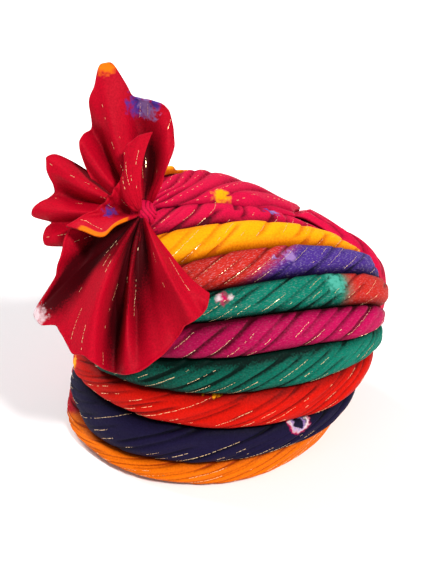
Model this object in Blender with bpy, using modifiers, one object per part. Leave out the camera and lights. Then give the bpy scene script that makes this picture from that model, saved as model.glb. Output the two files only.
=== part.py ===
"""Tied turban: a hollow crimson crown, nine twisted cloth rolls, pleated wraps and a gathered fan.

The turban stands on its rim, with the rolls' widest sweep facing -Y and the fan to the left of it.
Metres, +Z up, with the origin under the middle of the whole object.
"""

import math

import bmesh
import bpy
import numpy as np

# Crown: the hollow cloth bowl that the head goes into
CROWN_HEIGHT = 0.197
CROWN_WIDE_HEIGHT = 0.114
RIM_HALF_WIDTH = 0.096
RIM_HALF_DEPTH = 0.102
WIDE_HALF_WIDTH = 0.113
WIDE_HALF_DEPTH = 0.099
WIDE_SHIFT = 0.030
TOP_SHIFT = -0.042
DOME_POWER = 1.75
CROWN_WALL = 0.003

# Rolls: how far they stand off the crown, how they twist and how their ends are tucked
ROLL_RISE = 0.0130
ROLL_EDGE = 0.0010
ROLL_POWER = 2.8
ROLL_RIB = 0.0009
ROLL_TWIST = math.radians(9.0)
TUCK_TURN = math.radians(18.0)
TUCK_RISE = 0.35
TUCK_WIDTH = 0.75

# Wraps: the crimson cloth over the dome and round the back
WRAP_RISE = 0.0036
WRAP_PLEAT = 0.0013
WRAP_FOOT_RISE = 0.0105
TOP_WRAP_PLEATS = 12
BACK_WRAP_PLEATS = 6
BACK_WRAP_FIRST = math.radians(110.0)
BACK_WRAP_LAST = math.radians(260.0)
BACK_HEM_SHARE = 0.68
LEFT_SEAM_TURN = math.radians(-95.0)
RIGHT_SEAM_TURN = math.radians(98.0)
RIGHT_SEAM_LEAN = math.radians(9.0)

# Far roll: the yellow end that runs back from the knot over the dome
FAR_ROLL_TURN = math.radians(165.0)
FAR_ROLL_HALF_WIDTH = 0.0085
FAR_ROLL_RISE = 0.0080
FAR_ROLL_SHARES = (0.994, 0.850)

# Clearances between pieces that lie on each other
LAY_GAP = 0.0006
ROLL_UNDER = 0.0013
WRAP_UNDER = 0.0032
SIDE_GAP = 0.0004

# Knot: the gathered bulb that sits on the crimson roll and holds the fan
KNOT_TURN = math.radians(-3.5)
KNOT_RADIUS = 0.0100
KNOT_HALF_DEPTH = 0.0130
KNOT_PUCKER = 0.04
KNOT_SEAT = 0.82

# Fan: pleated cloth that spreads from the knot, square to a line that climbs FAN_TILT from level
FAN_REACH = 0.120
FAN_FOLD = 0.022
FAN_STAND = 0.020
FAN_THICKNESS = 0.0012
FAN_TILT = math.radians(30.0)

# Mesh steps
CROWN_STEPS = 36
CROWN_RINGS = 9
ROLL_STEPS = 23
RIM_STEPS = 40
ROLL_SECTION_STEPS = 6
TOP_WRAP_STEPS = 36
FAR_ROLL_STEPS = 10
KNOT_STEPS = 12

# Upper edge of each roll: heights where it passes the crown's left side, front and right side,
# and how far its right half bows upwards, all as shares of the crown's height
ROLL_EDGES = {
    "ground": (0.000, 0.000, 0.000, 0.000),
    "rim": (0.060, 0.104, 0.165, 0.005),
    "navy": (0.250, 0.264, 0.255, 0.000),
    "vermilion": (0.330, 0.420, 0.385, 0.010),
    "lower_green": (0.370, 0.580, 0.430, 0.015),
    "magenta": (0.400, 0.697, 0.475, 0.015),
    "upper_green": (0.420, 0.776, 0.588, 0.025),
    "violet": (0.445, 0.852, 0.698, 0.035),
    "yellow": (0.475, 0.920, 0.790, 0.050),
    "crimson": (0.540, 0.965, 0.890, 0.050),
}

# Roll, edge below it, edge above it, first and last turn in degrees, rise as a share
ROLLS = (
    ("navy_roll", "rim", "navy", -93, 97, 1.00),
    ("vermilion_roll", "navy", "vermilion", -93, 97, 1.00),
    ("lower_green_roll", "vermilion", "lower_green", -93, 98, 1.00),
    ("magenta_roll", "lower_green", "magenta", -93, 98, 1.00),
    ("upper_green_roll", "magenta", "upper_green", -93, 100, 1.00),
    ("violet_roll", "upper_green", "violet", -93, 101, 0.95),
    ("yellow_roll", "violet", "yellow", -93, 102, 0.85),
    ("crimson_roll", "yellow", "crimson", -93, 103, 0.60),
)

# Folds of each fan piece, left to right round the knot: angle in degrees from the right, hem's
# distance from the knot as a share of FAN_REACH, fold towards the viewer as a share of FAN_FOLD,
# stand-off as a share of FAN_STAND
PLUME_FOLDS = (
    (143, 0.38, 0.00, 0.0),
    (135, 0.53, 0.30, 0.0),
    (127, 0.59, 0.10, 0.0),
    (121, 0.60, -0.30, 0.0),
    (115, 0.76, 0.10, 0.0),
    (107, 0.93, 0.25, 0.0),
    (101, 0.92, 0.15, 0.0),
    (97, 0.75, -0.10, 0.0),
    (89, 0.68, -0.30, 0.0),
    (83, 0.67, 0.60, 0.0),
    (77, 0.65, 0.20, 0.0),
    (71, 0.54, -0.30, 0.0),
    (66, 0.38, 0.30, 0.0),
)
LOBE_FOLDS = (
    (197, 0.50, -0.50, 0.0),
    (192, 0.60, 0.00, 0.0),
    (187, 0.59, -0.10, 0.0),
    (181, 0.56, -0.60, 0.0),
    (175, 0.67, 0.30, 0.0),
    (168, 0.58, -0.20, 0.0),
    (160, 0.54, -0.70, 0.0),
    (153, 0.61, -0.10, 0.0),
    (145, 0.64, 0.20, 0.0),
    (139, 0.44, -0.30, 0.0),
    (133, 0.40, -0.50, 0.0),
)
LOWER_FOLDS = (
    (-168, 0.45, 0.10, 0.0),
    (-158, 0.51, 0.15, 0.0),
    (-149, 0.59, 0.00, 0.1),
    (-142, 0.70, 0.00, 0.3),
    (-137, 0.85, 0.40, 0.3),
    (-131, 0.86, 0.15, 0.4),
    (-125, 0.81, -0.10, 0.5),
    (-117, 0.82, 0.30, 0.6),
    (-109, 0.91, 0.55, 0.7),
    (-102, 0.95, -0.20, 0.8),
    (-97, 0.96, -0.30, 0.8),
    (-91, 0.94, 0.20, 0.9),
    (-84, 0.86, 0.25, 1.0),
    (-76, 0.77, 0.00, 1.0),
    (-69, 0.71, 0.15, 1.0),
    (-63, 0.70, 0.50, 1.0),
    (-57, 0.69, 0.35, 1.0),
    (-51, 0.63, 0.20, 1.0),
)
PETAL_FOLDS = (
    (207, 0.20, 0.30, 0.0),
    (199, 0.30, 0.50, 0.0),
    (190, 0.45, 0.30, 0.0),
    (182, 0.35, 0.15, 0.0),
    (170, 0.25, 0.00, 0.0),
    (156, 0.23, 0.00, 0.0),
    (140, 0.22, 0.15, 0.0),
    (122, 0.24, 0.25, 0.0),
    (110, 0.30, 0.40, 0.0),
    (100, 0.41, 0.50, 0.0),
    (91, 0.44, 0.60, 0.0),
    (82, 0.47, 0.55, 0.0),
)

# Fan piece, its folds, its layer as a share of the knot's half depth, steps round and steps out
FAN_PIECES = (
    ("left_lobes", LOBE_FOLDS, -0.50, 24, 3),
    ("upper_plume", PLUME_FOLDS, -0.10, 28, 4),
    ("lower_fan", LOWER_FOLDS, 0.30, 34, 4),
    ("inner_petal", PETAL_FOLDS, 0.67, 16, 3),
)

# Colour, roughness
CLOTHS = {
    "crimson": ((0.42, 0.004, 0.040), 0.75),
    "marigold": ((0.86, 0.27, 0.004), 0.75),
    "navy": ((0.012, 0.010, 0.075), 0.75),
    "vermilion": ((0.80, 0.025, 0.002), 0.75),
    "emerald": ((0.0, 0.17, 0.095), 0.75),
    "magenta": ((0.50, 0.004, 0.10), 0.75),
    "violet": ((0.10, 0.035, 0.33), 0.75),
    "golden": ((0.95, 0.37, 0.002), 0.75),
}
ROLL_CLOTHS = {
    "navy_roll": "navy",
    "vermilion_roll": "vermilion",
    "lower_green_roll": "emerald",
    "magenta_roll": "magenta",
    "upper_green_roll": "emerald",
    "violet_roll": "violet",
    "yellow_roll": "golden",
    "crimson_roll": "crimson",
}


def cloth(name):
    """One plain material for each dyed cloth."""
    colour, roughness = CLOTHS[name]
    material = bpy.data.materials.get(name) or bpy.data.materials.new(name)
    material.use_nodes = True
    shader = material.node_tree.nodes["Principled BSDF"]
    shader.inputs["Base Color"].default_value = (*colour, 1.0)
    shader.inputs["Roughness"].default_value = roughness
    shader.inputs["Metallic"].default_value = 0.0
    return material


def girth(height):
    """Centre shift, half width and half depth of the crown's outer ring at a height."""
    height = np.asarray(height, float)
    below = np.clip((CROWN_WIDE_HEIGHT - height) / CROWN_WIDE_HEIGHT, 0.0, 1.0) ** 2
    above = np.clip((height - CROWN_WIDE_HEIGHT) / (CROWN_HEIGHT - CROWN_WIDE_HEIGHT), 0.0, 1.0)
    dome = np.maximum(1.0 - above ** DOME_POWER, 1e-9) ** (1.0 / DOME_POWER)
    shift = WIDE_SHIFT * (1.0 - below) + (TOP_SHIFT - WIDE_SHIFT) * above ** 1.5
    half_width = (WIDE_HALF_WIDTH - (WIDE_HALF_WIDTH - RIM_HALF_WIDTH) * below) * dome
    half_depth = (WIDE_HALF_DEPTH - (WIDE_HALF_DEPTH - RIM_HALF_DEPTH) * below) * dome
    return shift, half_width, half_depth


def side_point(share, turn):
    """A point of the crown's outer surface at a share of its height; turn 0 is the front."""
    height = np.asarray(share, float) * CROWN_HEIGHT
    turn = np.asarray(turn, float)
    shift, half_width, half_depth = girth(height)
    return np.stack(
        [
            shift + half_width * np.sin(turn),
            -half_depth * np.cos(turn),
            height + 0.0 * turn,
        ],
        axis=-1,
    )


def outside(points):
    """Negative inside the crown, positive outside it."""
    shift, half_width, half_depth = girth(np.clip(points[..., 2], 0.0, CROWN_HEIGHT))
    across = ((points[..., 0] - shift) / half_width) ** 2
    along = (points[..., 1] / half_depth) ** 2
    return np.where(points[..., 2] > CROWN_HEIGHT, 1.0, across + along - 1.0)


def slope_normals(share, turn):
    """Outward unit normals of the crown's surface, from its two tangents."""
    step = 1e-4
    share = np.clip(share, 0.0, 1.0 - 2.0 * step)
    upward = side_point(share + step, turn) - side_point(np.maximum(share - step, 0.0), turn)
    sideways = side_point(share, turn + step) - side_point(share, turn - step)
    normal = np.cross(sideways, upward)
    return normal / np.linalg.norm(normal, axis=-1, keepdims=True)


def ring_points(edge, turn):
    """Where an edge runs over the crown at each turn, and the crown's normals there."""
    edge = np.asarray(edge, float)
    left = side_point(edge[..., 0], -math.pi / 2)
    front = side_point(edge[..., 1], 0.0)
    right = side_point(edge[..., 2], math.pi / 2)
    middle = (left + right) / 2
    reach = np.cos(turn)[..., None] * (front - middle) + np.sin(turn)[..., None] * (right - middle)
    bow = np.where(turn > 0.0, np.sin(2.0 * turn), 0.0)
    reach[..., 2] += edge[..., 3] * CROWN_HEIGHT * bow
    near = np.zeros(turn.shape)
    far = np.full(turn.shape, 4.0)
    for _ in range(44):
        half = (near + far) / 2
        inside = outside(middle + half[..., None] * reach) < 0.0
        near = np.where(inside, half, near)
        far = np.where(inside, far, half)
    points = middle + near[..., None] * reach
    share = points[..., 2] / CROWN_HEIGHT
    shift, half_width, half_depth = girth(points[..., 2])
    around = np.arctan2((points[..., 0] - shift) / half_width, -points[..., 1] / half_depth)
    return points, slope_normals(share, around)


def add_object(name, vertices, faces, material, collection):
    """One closed, outward-facing mesh object."""
    mesh = bpy.data.meshes.new(name)
    mesh.from_pydata([tuple(v) for v in vertices], [], faces)
    shape = bmesh.new()
    shape.from_mesh(mesh)
    bmesh.ops.triangulate(shape, faces=[f for f in shape.faces if len(f.verts) > 3])
    bmesh.ops.recalc_face_normals(shape, faces=shape.faces)
    shape.to_mesh(mesh)
    shape.free()
    mesh.materials.append(cloth(material))
    mesh.shade_smooth()
    mesh.set_sharp_from_angle(angle=math.radians(50.0))
    piece = bpy.data.objects.new(name, mesh)
    collection.objects.link(piece)
    return piece


def layered(outer, inner, closed=False, pole=None):
    """Vertices and faces of the solid between two matching grids of points.

    closed joins the last row to the first; pole gives an outer and an inner point that close
    the grid's last column.
    """
    rows, columns = outer.shape[:2]
    vertices = np.concatenate([outer.reshape(-1, 3), inner.reshape(-1, 3)])
    count = rows * columns
    faces = []
    last_row = rows if closed else rows - 1

    def at(row, column, layer):
        return layer * count + (row % rows) * columns + column

    for row in range(last_row):
        for column in range(columns - 1):
            for layer in (0, 1):
                quad = [
                    at(row, column, layer),
                    at(row + 1, column, layer),
                    at(row + 1, column + 1, layer),
                    at(row, column + 1, layer),
                ]
                faces.append(quad if layer == 0 else quad[::-1])
        for column in (0, columns - 1):
            if pole is not None and column == columns - 1:
                continue
            faces.append(
                [at(row, column, 0), at(row, column, 1), at(row + 1, column, 1), at(row + 1, column, 0)]
            )
    if not closed:
        for row in (0, rows - 1):
            for column in range(columns - 1):
                faces.append(
                    [at(row, column, 0), at(row, column, 1), at(row, column + 1, 1), at(row, column + 1, 0)]
                )
    if pole is not None:
        vertices = np.concatenate([vertices, np.array(pole)])
        for row in range(last_row):
            for layer in (0, 1):
                faces.append(
                    [at(row, columns - 1, layer), at(row + 1, columns - 1, layer), 2 * count + layer]
                )
    return vertices, faces


def build_crown(collection):
    """The bowl: open below, with a flat rim on the ground."""
    turns = np.arange(CROWN_STEPS) * 2.0 * math.pi / CROWN_STEPS
    rise = np.sin(np.linspace(0.0, 1.0, CROWN_RINGS + 1) * math.pi / 2)[:-1]
    turn, share = np.meshgrid(turns, rise, indexing="ij")
    points = side_point(share, turn)
    normals = slope_normals(share, turn)
    normals[:, 0, 2] = 0.0
    normals[:, 0] /= np.linalg.norm(normals[:, 0], axis=-1, keepdims=True)
    apex = side_point(1.0, 0.0)
    pole = [apex, apex - np.array([0.0, 0.0, CROWN_WALL])]
    inner = points - normals * CROWN_WALL
    inner[:, 0, 2] = 0.0
    vertices, faces = layered(points, inner, closed=True, pole=pole)
    add_object("crown", vertices, faces, "crimson", collection)


def roll_grid(low, high, first, last, steps, section_steps, closed=False):
    """Points, normals, place across and place along for one roll's twisted grid."""
    along = np.linspace(0.0, 1.0, steps + 1)
    if closed:
        along = along[:-1]
    across = (1.0 - np.cos(np.linspace(0.0, 1.0, section_steps + 1) * math.pi)) / 2
    along, across = np.meshgrid(along, across, indexing="ij")
    turn = first + (last - first) * along
    if closed:
        tuck = np.ones(along.shape)
    else:
        ends = np.minimum(turn - first, last - turn) / TUCK_TURN
        tuck = np.sin(np.clip(ends, 0.0, 1.0) * math.pi / 2)
    turn = turn + ROLL_TWIST * (across - 0.5) * tuck
    low, high = np.asarray(low), np.asarray(high)

    def edges(place):
        return low + (high - low) * place[..., None]

    base = edges(np.zeros(along.shape))
    top = edges(np.ones(along.shape))
    width = np.linalg.norm(ring_points(top, turn)[0] - ring_points(base, turn)[0], axis=-1)
    margin = np.clip(SIDE_GAP / width, 0.0, 0.3)
    narrow = TUCK_WIDTH + (1.0 - TUCK_WIDTH) * tuck
    place = 0.5 + (across - 0.5) * (1.0 - 2.0 * margin) * narrow
    points, normals = ring_points(edges(place), turn)
    return points, normals, across, along, tuck


def roll_lift(across, tuck, share, rib):
    """How far a roll's outside stands off the crown."""
    bulge = np.maximum(1.0 - np.abs(2.0 * across - 1.0) ** ROLL_POWER, 0.0) ** (1.0 / ROLL_POWER)
    rise = ROLL_RISE * share * (TUCK_RISE + (1.0 - TUCK_RISE) * tuck)
    return ROLL_UNDER + ROLL_EDGE * (1.0 - bulge) + (rise + ROLL_RIB * rib) * bulge


def build_roll(name, low, high, first, last, share, collection):
    """A twisted roll that lies on the crown between two edges."""
    points, normals, across, _, tuck = roll_grid(
        ROLL_EDGES[low],
        ROLL_EDGES[high],
        math.radians(first),
        math.radians(last),
        ROLL_STEPS,
        ROLL_SECTION_STEPS,
    )
    rib = np.where(np.arange(len(points)) % 2 == 0, 1.0, -1.0)[:, None] * np.ones(across.shape)
    lift = roll_lift(across, tuck, share, rib)
    outer = points + normals * lift[..., None]
    inner = points + normals * ROLL_UNDER
    vertices, faces = layered(outer, inner)
    add_object(name, vertices, faces, ROLL_CLOTHS[name], collection)


def build_rim_roll(collection):
    """The lowest roll, a whole ring that is flat where it rests."""
    points, normals, across, along, tuck = roll_grid(
        ROLL_EDGES["ground"],
        ROLL_EDGES["rim"],
        -math.pi,
        math.pi,
        RIM_STEPS,
        ROLL_SECTION_STEPS,
        closed=True,
    )
    rib = np.where(np.arange(len(points)) % 2 == 0, 1.0, -1.0)[:, None] * np.ones(across.shape)
    lift = roll_lift(across, tuck, 0.9, rib)
    outer = points + normals * lift[..., None]
    inner = points + normals * LAY_GAP
    outer[..., 2] = np.maximum(outer[..., 2], 0.0)
    inner[..., 2] = np.maximum(inner[..., 2], 0.0)
    vertices, faces = layered(outer, inner, closed=True)
    add_object("rim_roll", vertices, faces, "marigold", collection)


def edge_share(edge, around):
    """The share of the crown's height at which an edge passes each turn about the crown."""
    turn = np.linspace(-math.pi, math.pi, 721)
    points, _ = ring_points(np.tile(np.asarray(edge, float), (len(turn), 1)), turn)
    shift, half_width, half_depth = girth(points[..., 2])
    place = np.arctan2((points[..., 0] - shift) / half_width, -points[..., 1] / half_depth)
    order = np.argsort(place)
    wrapped = (around + math.pi) % (2.0 * math.pi) - math.pi
    return np.interp(wrapped, place[order], points[order, 2] / CROWN_HEIGHT)


def smooth(value):
    """0 below 0, 1 above 1 and an even curve between."""
    value = np.clip(value, 0.0, 1.0)
    return value * value * (3.0 - 2.0 * value)


def hem_share(around):
    """Lower edge of the top wrap: the crimson roll's edge in front, the hem behind."""
    away = np.abs((around + math.pi) % (2.0 * math.pi) - math.pi)
    behind = smooth((away - math.radians(100.0)) / math.radians(60.0))
    wrapped = (around + math.pi) % (2.0 * math.pi) - math.pi
    front = edge_share(ROLL_EDGES["crimson"], np.clip(wrapped, LEFT_SEAM_TURN, RIGHT_SEAM_TURN))
    return front + (BACK_HEM_SHARE - front) * behind


def lay_on_crown(name, share, around, under, lift, material, collection, closed=False, pole=None):
    """A solid between two heights above a grid of places on the crown."""
    points = side_point(share, around)
    normals = slope_normals(share, around)
    outer = points + normals * lift[..., None]
    inner = points + normals * under
    vertices, faces = layered(outer, inner, closed=closed, pole=pole)
    return add_object(name, vertices, faces, material, collection)


def build_top_wrap(collection):
    """The crimson cloth pleated from the knot's side over the dome."""
    turns = np.arange(TOP_WRAP_STEPS) * 2.0 * math.pi / TOP_WRAP_STEPS
    down = np.array([0.0, 0.17, 0.34, 0.51, 0.67, 0.83, 0.94])
    turn, climb = np.meshgrid(turns, down, indexing="ij")
    low = hem_share(turn) + SIDE_GAP / CROWN_HEIGHT
    share = low + (0.9985 - low) * np.sin(climb * math.pi / 2)
    pleat = np.where(np.arange(TOP_WRAP_STEPS) % 3 == 0, 1.0, -0.5)[:, None]
    lift = WRAP_UNDER + WRAP_RISE + WRAP_PLEAT * pleat * (1.0 - climb)
    apex = side_point(1.0, 0.0)
    up = np.array([0.0, 0.0, 1.0])
    pole = [apex + up * (WRAP_UNDER + WRAP_RISE), apex + up * WRAP_UNDER]
    lay_on_crown("top_wrap", share, turn, WRAP_UNDER, lift, "crimson", collection, True, pole)


def build_back_wrap(collection):
    """The crimson cloth round the back, from the rim roll up to the top wrap's hem."""
    step = 2.0 * math.pi / TOP_WRAP_STEPS
    rows = np.arange(BACK_WRAP_FIRST, BACK_WRAP_LAST + step / 2, step)
    climb = np.array([0.0, 0.06, 0.2, 0.36, 0.52, 0.68, 0.84, 0.96, 1.0])
    turn, climb = np.meshgrid(np.concatenate([[0.0], rows, [0.0]]), climb, indexing="ij")
    turn[0] = RIGHT_SEAM_TURN + RIGHT_SEAM_LEAN * climb[0] ** 2
    turn[-1] = 2.0 * math.pi + LEFT_SEAM_TURN
    low = edge_share(ROLL_EDGES["rim"], turn) + 2.0 * SIDE_GAP / CROWN_HEIGHT
    high = hem_share(turn) - SIDE_GAP / CROWN_HEIGHT
    share = low + (high - low) * climb
    along = (turn - RIGHT_SEAM_TURN) / (2.0 * math.pi + LEFT_SEAM_TURN - RIGHT_SEAM_TURN)
    fold = np.cos(2.0 * math.pi * BACK_WRAP_PLEATS * (along + 0.25 * climb))
    rise = WRAP_FOOT_RISE + (WRAP_RISE - WRAP_FOOT_RISE) * smooth(climb * 1.15 - 0.1)
    lift = WRAP_UNDER + rise + WRAP_PLEAT * fold * np.sin(climb * math.pi)
    lay_on_crown("back_wrap", share, turn, WRAP_UNDER, lift, "crimson", collection)


def build_far_roll(collection):
    """The yellow roll that runs from behind the knot over the back of the dome."""
    along = np.linspace(0.0, 1.0, FAR_ROLL_STEPS + 1)
    across = (1.0 - np.cos(np.linspace(0.0, 1.0, ROLL_SECTION_STEPS + 1) * math.pi)) / 2
    along, across = np.meshgrid(along, across, indexing="ij")
    first, last = FAR_ROLL_SHARES
    share = first + (last - first) * along**2
    _, half_width, _ = girth(share * CROWN_HEIGHT)
    turn = FAR_ROLL_TURN + (across - 0.5) * 2.0 * FAR_ROLL_HALF_WIDTH / half_width
    tuck = np.sin(np.clip(np.minimum(along, 1.0 - along) * 5.0, 0.0, 1.0) * math.pi / 2)
    bulge = np.maximum(1.0 - np.abs(2.0 * across - 1.0) ** ROLL_POWER, 0.0) ** (1.0 / ROLL_POWER)
    under = WRAP_UNDER + WRAP_RISE + LAY_GAP
    rise = FAR_ROLL_RISE * (TUCK_RISE + (1.0 - TUCK_RISE) * tuck)
    lift = under + ROLL_EDGE * (1.0 - bulge) + rise * bulge
    lay_on_crown("far_yellow_roll", share, turn, under, lift, "golden", collection)


def fan_axes():
    """The fan's right, up and towards-the-viewer directions."""
    right = np.array([1.0, 0.0, 0.0])
    up = np.array([0.0, math.sin(FAN_TILT), math.cos(FAN_TILT)])
    towards = np.array([0.0, -math.cos(FAN_TILT), math.sin(FAN_TILT)])
    return right, up, towards


def knot_centre():
    """The knot's centre, seated on the crest of the crimson roll."""
    edge = (np.array(ROLL_EDGES["yellow"]) + np.array(ROLL_EDGES["crimson"])) / 2
    points, normals = ring_points(edge[None, :], np.array([KNOT_TURN]))
    normal = normals[0]
    axes = fan_axes()
    sizes = (KNOT_RADIUS, KNOT_RADIUS, KNOT_HALF_DEPTH)
    half = math.sqrt(sum((size * float(normal @ axis)) ** 2 for size, axis in zip(sizes, axes)))
    crest = ROLL_UNDER + ROLL_RISE * ROLLS[-1][5] + ROLL_RIB
    return points[0] + normal * (crest + SIDE_GAP + half * KNOT_SEAT)


def build_knot(collection):
    """A bulb gathered into puckers round the line that faces the viewer."""
    right, up, towards = fan_axes()
    centre = knot_centre()
    turns = np.arange(KNOT_STEPS) * 2.0 * math.pi / KNOT_STEPS
    rings = np.linspace(-1.0, 1.0, 7)[1:-1]
    vertices = [centre - towards * KNOT_HALF_DEPTH, centre + towards * KNOT_HALF_DEPTH]
    for ring in rings:
        radius = KNOT_RADIUS * math.sqrt(1.0 - ring**2)
        for index, turn in enumerate(turns):
            pucker = 1.0 - KNOT_PUCKER * (index % 2)
            reach = radius * pucker * (math.cos(turn) * right + math.sin(turn) * up)
            vertices.append(centre + reach + towards * KNOT_HALF_DEPTH * ring)
    faces = []
    for ring in range(len(rings) - 1):
        for index in range(KNOT_STEPS):
            here = 2 + ring * KNOT_STEPS + index
            after = 2 + ring * KNOT_STEPS + (index + 1) % KNOT_STEPS
            faces.append([here, after, after + KNOT_STEPS, here + KNOT_STEPS])
    last = 2 + (len(rings) - 1) * KNOT_STEPS
    for index in range(KNOT_STEPS):
        faces.append([0, 2 + (index + 1) % KNOT_STEPS, 2 + index])
        faces.append([1, last + index, last + (index + 1) % KNOT_STEPS])
    add_object("knot", vertices, faces, "crimson", collection)


def fold_curve(angles, folds, column):
    """A fold table's column at any angle, eased from one fold to the next."""
    known = np.array([fold[0] for fold in folds], float)
    values = np.array([fold[column] for fold in folds], float)
    if known[0] > known[-1]:
        known, values = known[::-1], values[::-1]
    place = np.clip(np.searchsorted(known, angles) - 1, 0, len(known) - 2)
    share = smooth((angles - known[place]) / (known[place + 1] - known[place]))
    return values[place] + (values[place + 1] - values[place]) * share


def build_fan_piece(name, folds, layer, steps, rings, collection):
    """One gathered sheet that spreads from the knot to its hem."""
    right, up, towards = fan_axes()
    angles = np.linspace(folds[0][0], folds[-1][0], steps + 1)
    out = np.linspace(0.0, 1.0, rings + 1)
    angle, out = np.meshgrid(angles, out, indexing="ij")
    root = KNOT_RADIUS * math.sqrt(1.0 - layer**2) + SIDE_GAP
    hem = FAN_REACH * fold_curve(angle, folds, 1)
    fold = FAN_FOLD * fold_curve(angle, folds, 2)
    stand = FAN_STAND * fold_curve(angle, folds, 3)
    reach = root + (hem - root) * out
    depth = KNOT_HALF_DEPTH * layer + fold * out**1.2 + stand * np.sin(out * math.pi / 2)
    spread = np.radians(angle)
    points = (
        knot_centre()
        + (reach * np.cos(spread))[..., None] * right
        + (reach * np.sin(spread))[..., None] * up
        + depth[..., None] * towards
    )
    rows, columns = points.shape[:2]
    faces = []
    for row in range(rows - 1):
        for column in range(columns - 1):
            here = row * columns + column
            faces.append([here, here + columns, here + columns + 1, here + 1])
    mesh = bpy.data.meshes.new(name)
    mesh.from_pydata([tuple(v) for v in points.reshape(-1, 3)], [], faces)
    mesh.materials.append(cloth("crimson"))
    mesh.shade_smooth()
    piece = bpy.data.objects.new(name, mesh)
    collection.objects.link(piece)
    wall = piece.modifiers.new("cloth thickness", "SOLIDIFY")
    wall.thickness = FAN_THICKNESS
    wall.offset = 0.0
    wall.use_even_offset = False


def centre_on_ground(collection):
    """Hang every piece from one empty, so that the whole object's box is centred on the origin."""
    bpy.context.view_layer.update()
    graph = bpy.context.evaluated_depsgraph_get()
    corners = []
    for piece in collection.objects:
        shape = piece.evaluated_get(graph).to_mesh()
        places = np.empty(len(shape.vertices) * 3)
        shape.vertices.foreach_get("co", places)
        corners.append(places.reshape(-1, 3))
        piece.evaluated_get(graph).to_mesh_clear()
    places = np.concatenate(corners)
    middle = (places.min(axis=0) + places.max(axis=0)) / 2
    origin = bpy.data.objects.new("turban_origin", None)
    collection.objects.link(origin)
    for piece in list(collection.objects):
        if piece is not origin:
            piece.parent = origin
    origin.location = (-middle[0], -middle[1], 0.0)
    bpy.context.view_layer.update()


def main():
    for old in list(bpy.data.objects):
        bpy.data.objects.remove(old, do_unlink=True)
    collection = bpy.data.collections.new("tied_turban")
    bpy.context.scene.collection.children.link(collection)
    build_crown(collection)
    build_rim_roll(collection)
    for name, low, high, first, last, share in ROLLS:
        build_roll(name, low, high, first, last, share, collection)
    build_top_wrap(collection)
    build_back_wrap(collection)
    build_far_roll(collection)
    build_knot(collection)
    for name, folds, layer, steps, rings in FAN_PIECES:
        build_fan_piece(name, folds, layer, steps, rings, collection)
    centre_on_ground(collection)


main()
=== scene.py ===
"""Looks of a tied turban: twisted dyed rolls, pleated crimson wraps and a gathered fan.

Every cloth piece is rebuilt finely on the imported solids, in the same place, and replaces its solid.
Metres, +Z up, the front towards -Y.
"""

import math

import bmesh
import bpy
import numpy as np
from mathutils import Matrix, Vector
from mathutils.kdtree import KDTree


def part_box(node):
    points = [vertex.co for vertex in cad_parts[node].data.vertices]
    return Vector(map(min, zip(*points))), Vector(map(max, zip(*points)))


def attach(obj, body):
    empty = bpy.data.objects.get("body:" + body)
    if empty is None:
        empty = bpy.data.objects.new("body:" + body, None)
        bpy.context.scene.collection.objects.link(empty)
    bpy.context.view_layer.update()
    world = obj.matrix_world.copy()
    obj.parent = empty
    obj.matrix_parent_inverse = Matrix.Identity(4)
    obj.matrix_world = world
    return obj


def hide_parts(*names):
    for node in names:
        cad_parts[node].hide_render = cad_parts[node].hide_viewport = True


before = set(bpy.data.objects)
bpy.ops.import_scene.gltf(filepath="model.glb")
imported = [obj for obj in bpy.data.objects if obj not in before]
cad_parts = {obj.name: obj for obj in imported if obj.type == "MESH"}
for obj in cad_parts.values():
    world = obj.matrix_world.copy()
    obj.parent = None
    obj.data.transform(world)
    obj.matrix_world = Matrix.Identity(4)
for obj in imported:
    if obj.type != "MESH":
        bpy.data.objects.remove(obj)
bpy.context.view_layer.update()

# Sizes in metres, and shares of them. The ones that the part's source has too are the same there,
# apart from ROLL_POWER, which makes the rolls a little rounder here.
CROWN_HEIGHT = 0.197
CROWN_WIDE_HEIGHT = 0.114
RIM_HALF_WIDTH = 0.096
RIM_HALF_DEPTH = 0.102
WIDE_HALF_WIDTH = 0.113
WIDE_HALF_DEPTH = 0.099
WIDE_SHIFT = 0.030
TOP_SHIFT = -0.042
DOME_POWER = 1.75
CROWN_WALL = 0.003
ROLL_RISE = 0.0130
ROLL_EDGE = 0.0010
ROLL_POWER = 2.5
ROLL_TWIST = math.radians(9.0)
ROLL_UNDER = 0.0013
TUCK_TURN = math.radians(18.0)
TUCK_RISE = 0.35
TUCK_WIDTH = 0.75
WRAP_RISE = 0.0036
WRAP_UNDER = 0.0032
WRAP_FOOT_RISE = 0.0105
WRAP_DIP = 0.0050
BACK_HEM_SHARE = 0.68
LEFT_SEAM_TURN = math.radians(-95.0)
RIGHT_SEAM_TURN = math.radians(98.0)
RIGHT_SEAM_LEAN = math.radians(9.0)
RIGHT_LAP = math.radians(11.0)
LEFT_LAP = math.radians(28.0)
LAP_RISE = 0.0028
LAP_PRESS = 0.0034
FAR_ROLL_TURN = math.radians(165.0)
FAR_ROLL_HALF_WIDTH = 0.0085
FAR_ROLL_RISE = 0.0080
FAR_ROLL_SHARES = (0.994, 0.850)
KNOT_TURN = math.radians(-3.5)
KNOT_RADIUS = 0.0100
KNOT_HALF_DEPTH = 0.0130
KNOT_SEAT = 0.82
KNOT_FRONT = 0.0085
FAN_REACH = 0.120
FAN_FOLD = 0.022
FAN_STAND = 0.020
FAN_TILT = math.radians(30.0)
FAN_WALL = 0.0009
FAN_CLEAR = 0.0165
LIP_MIDDLE = 0.55
LIP_WIDTH = 0.16
LIP_DROP = 12.0
LIP_STAND = 0.006
FOLD_EASE = 1.2
HEM_EASE = 0.7

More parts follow.
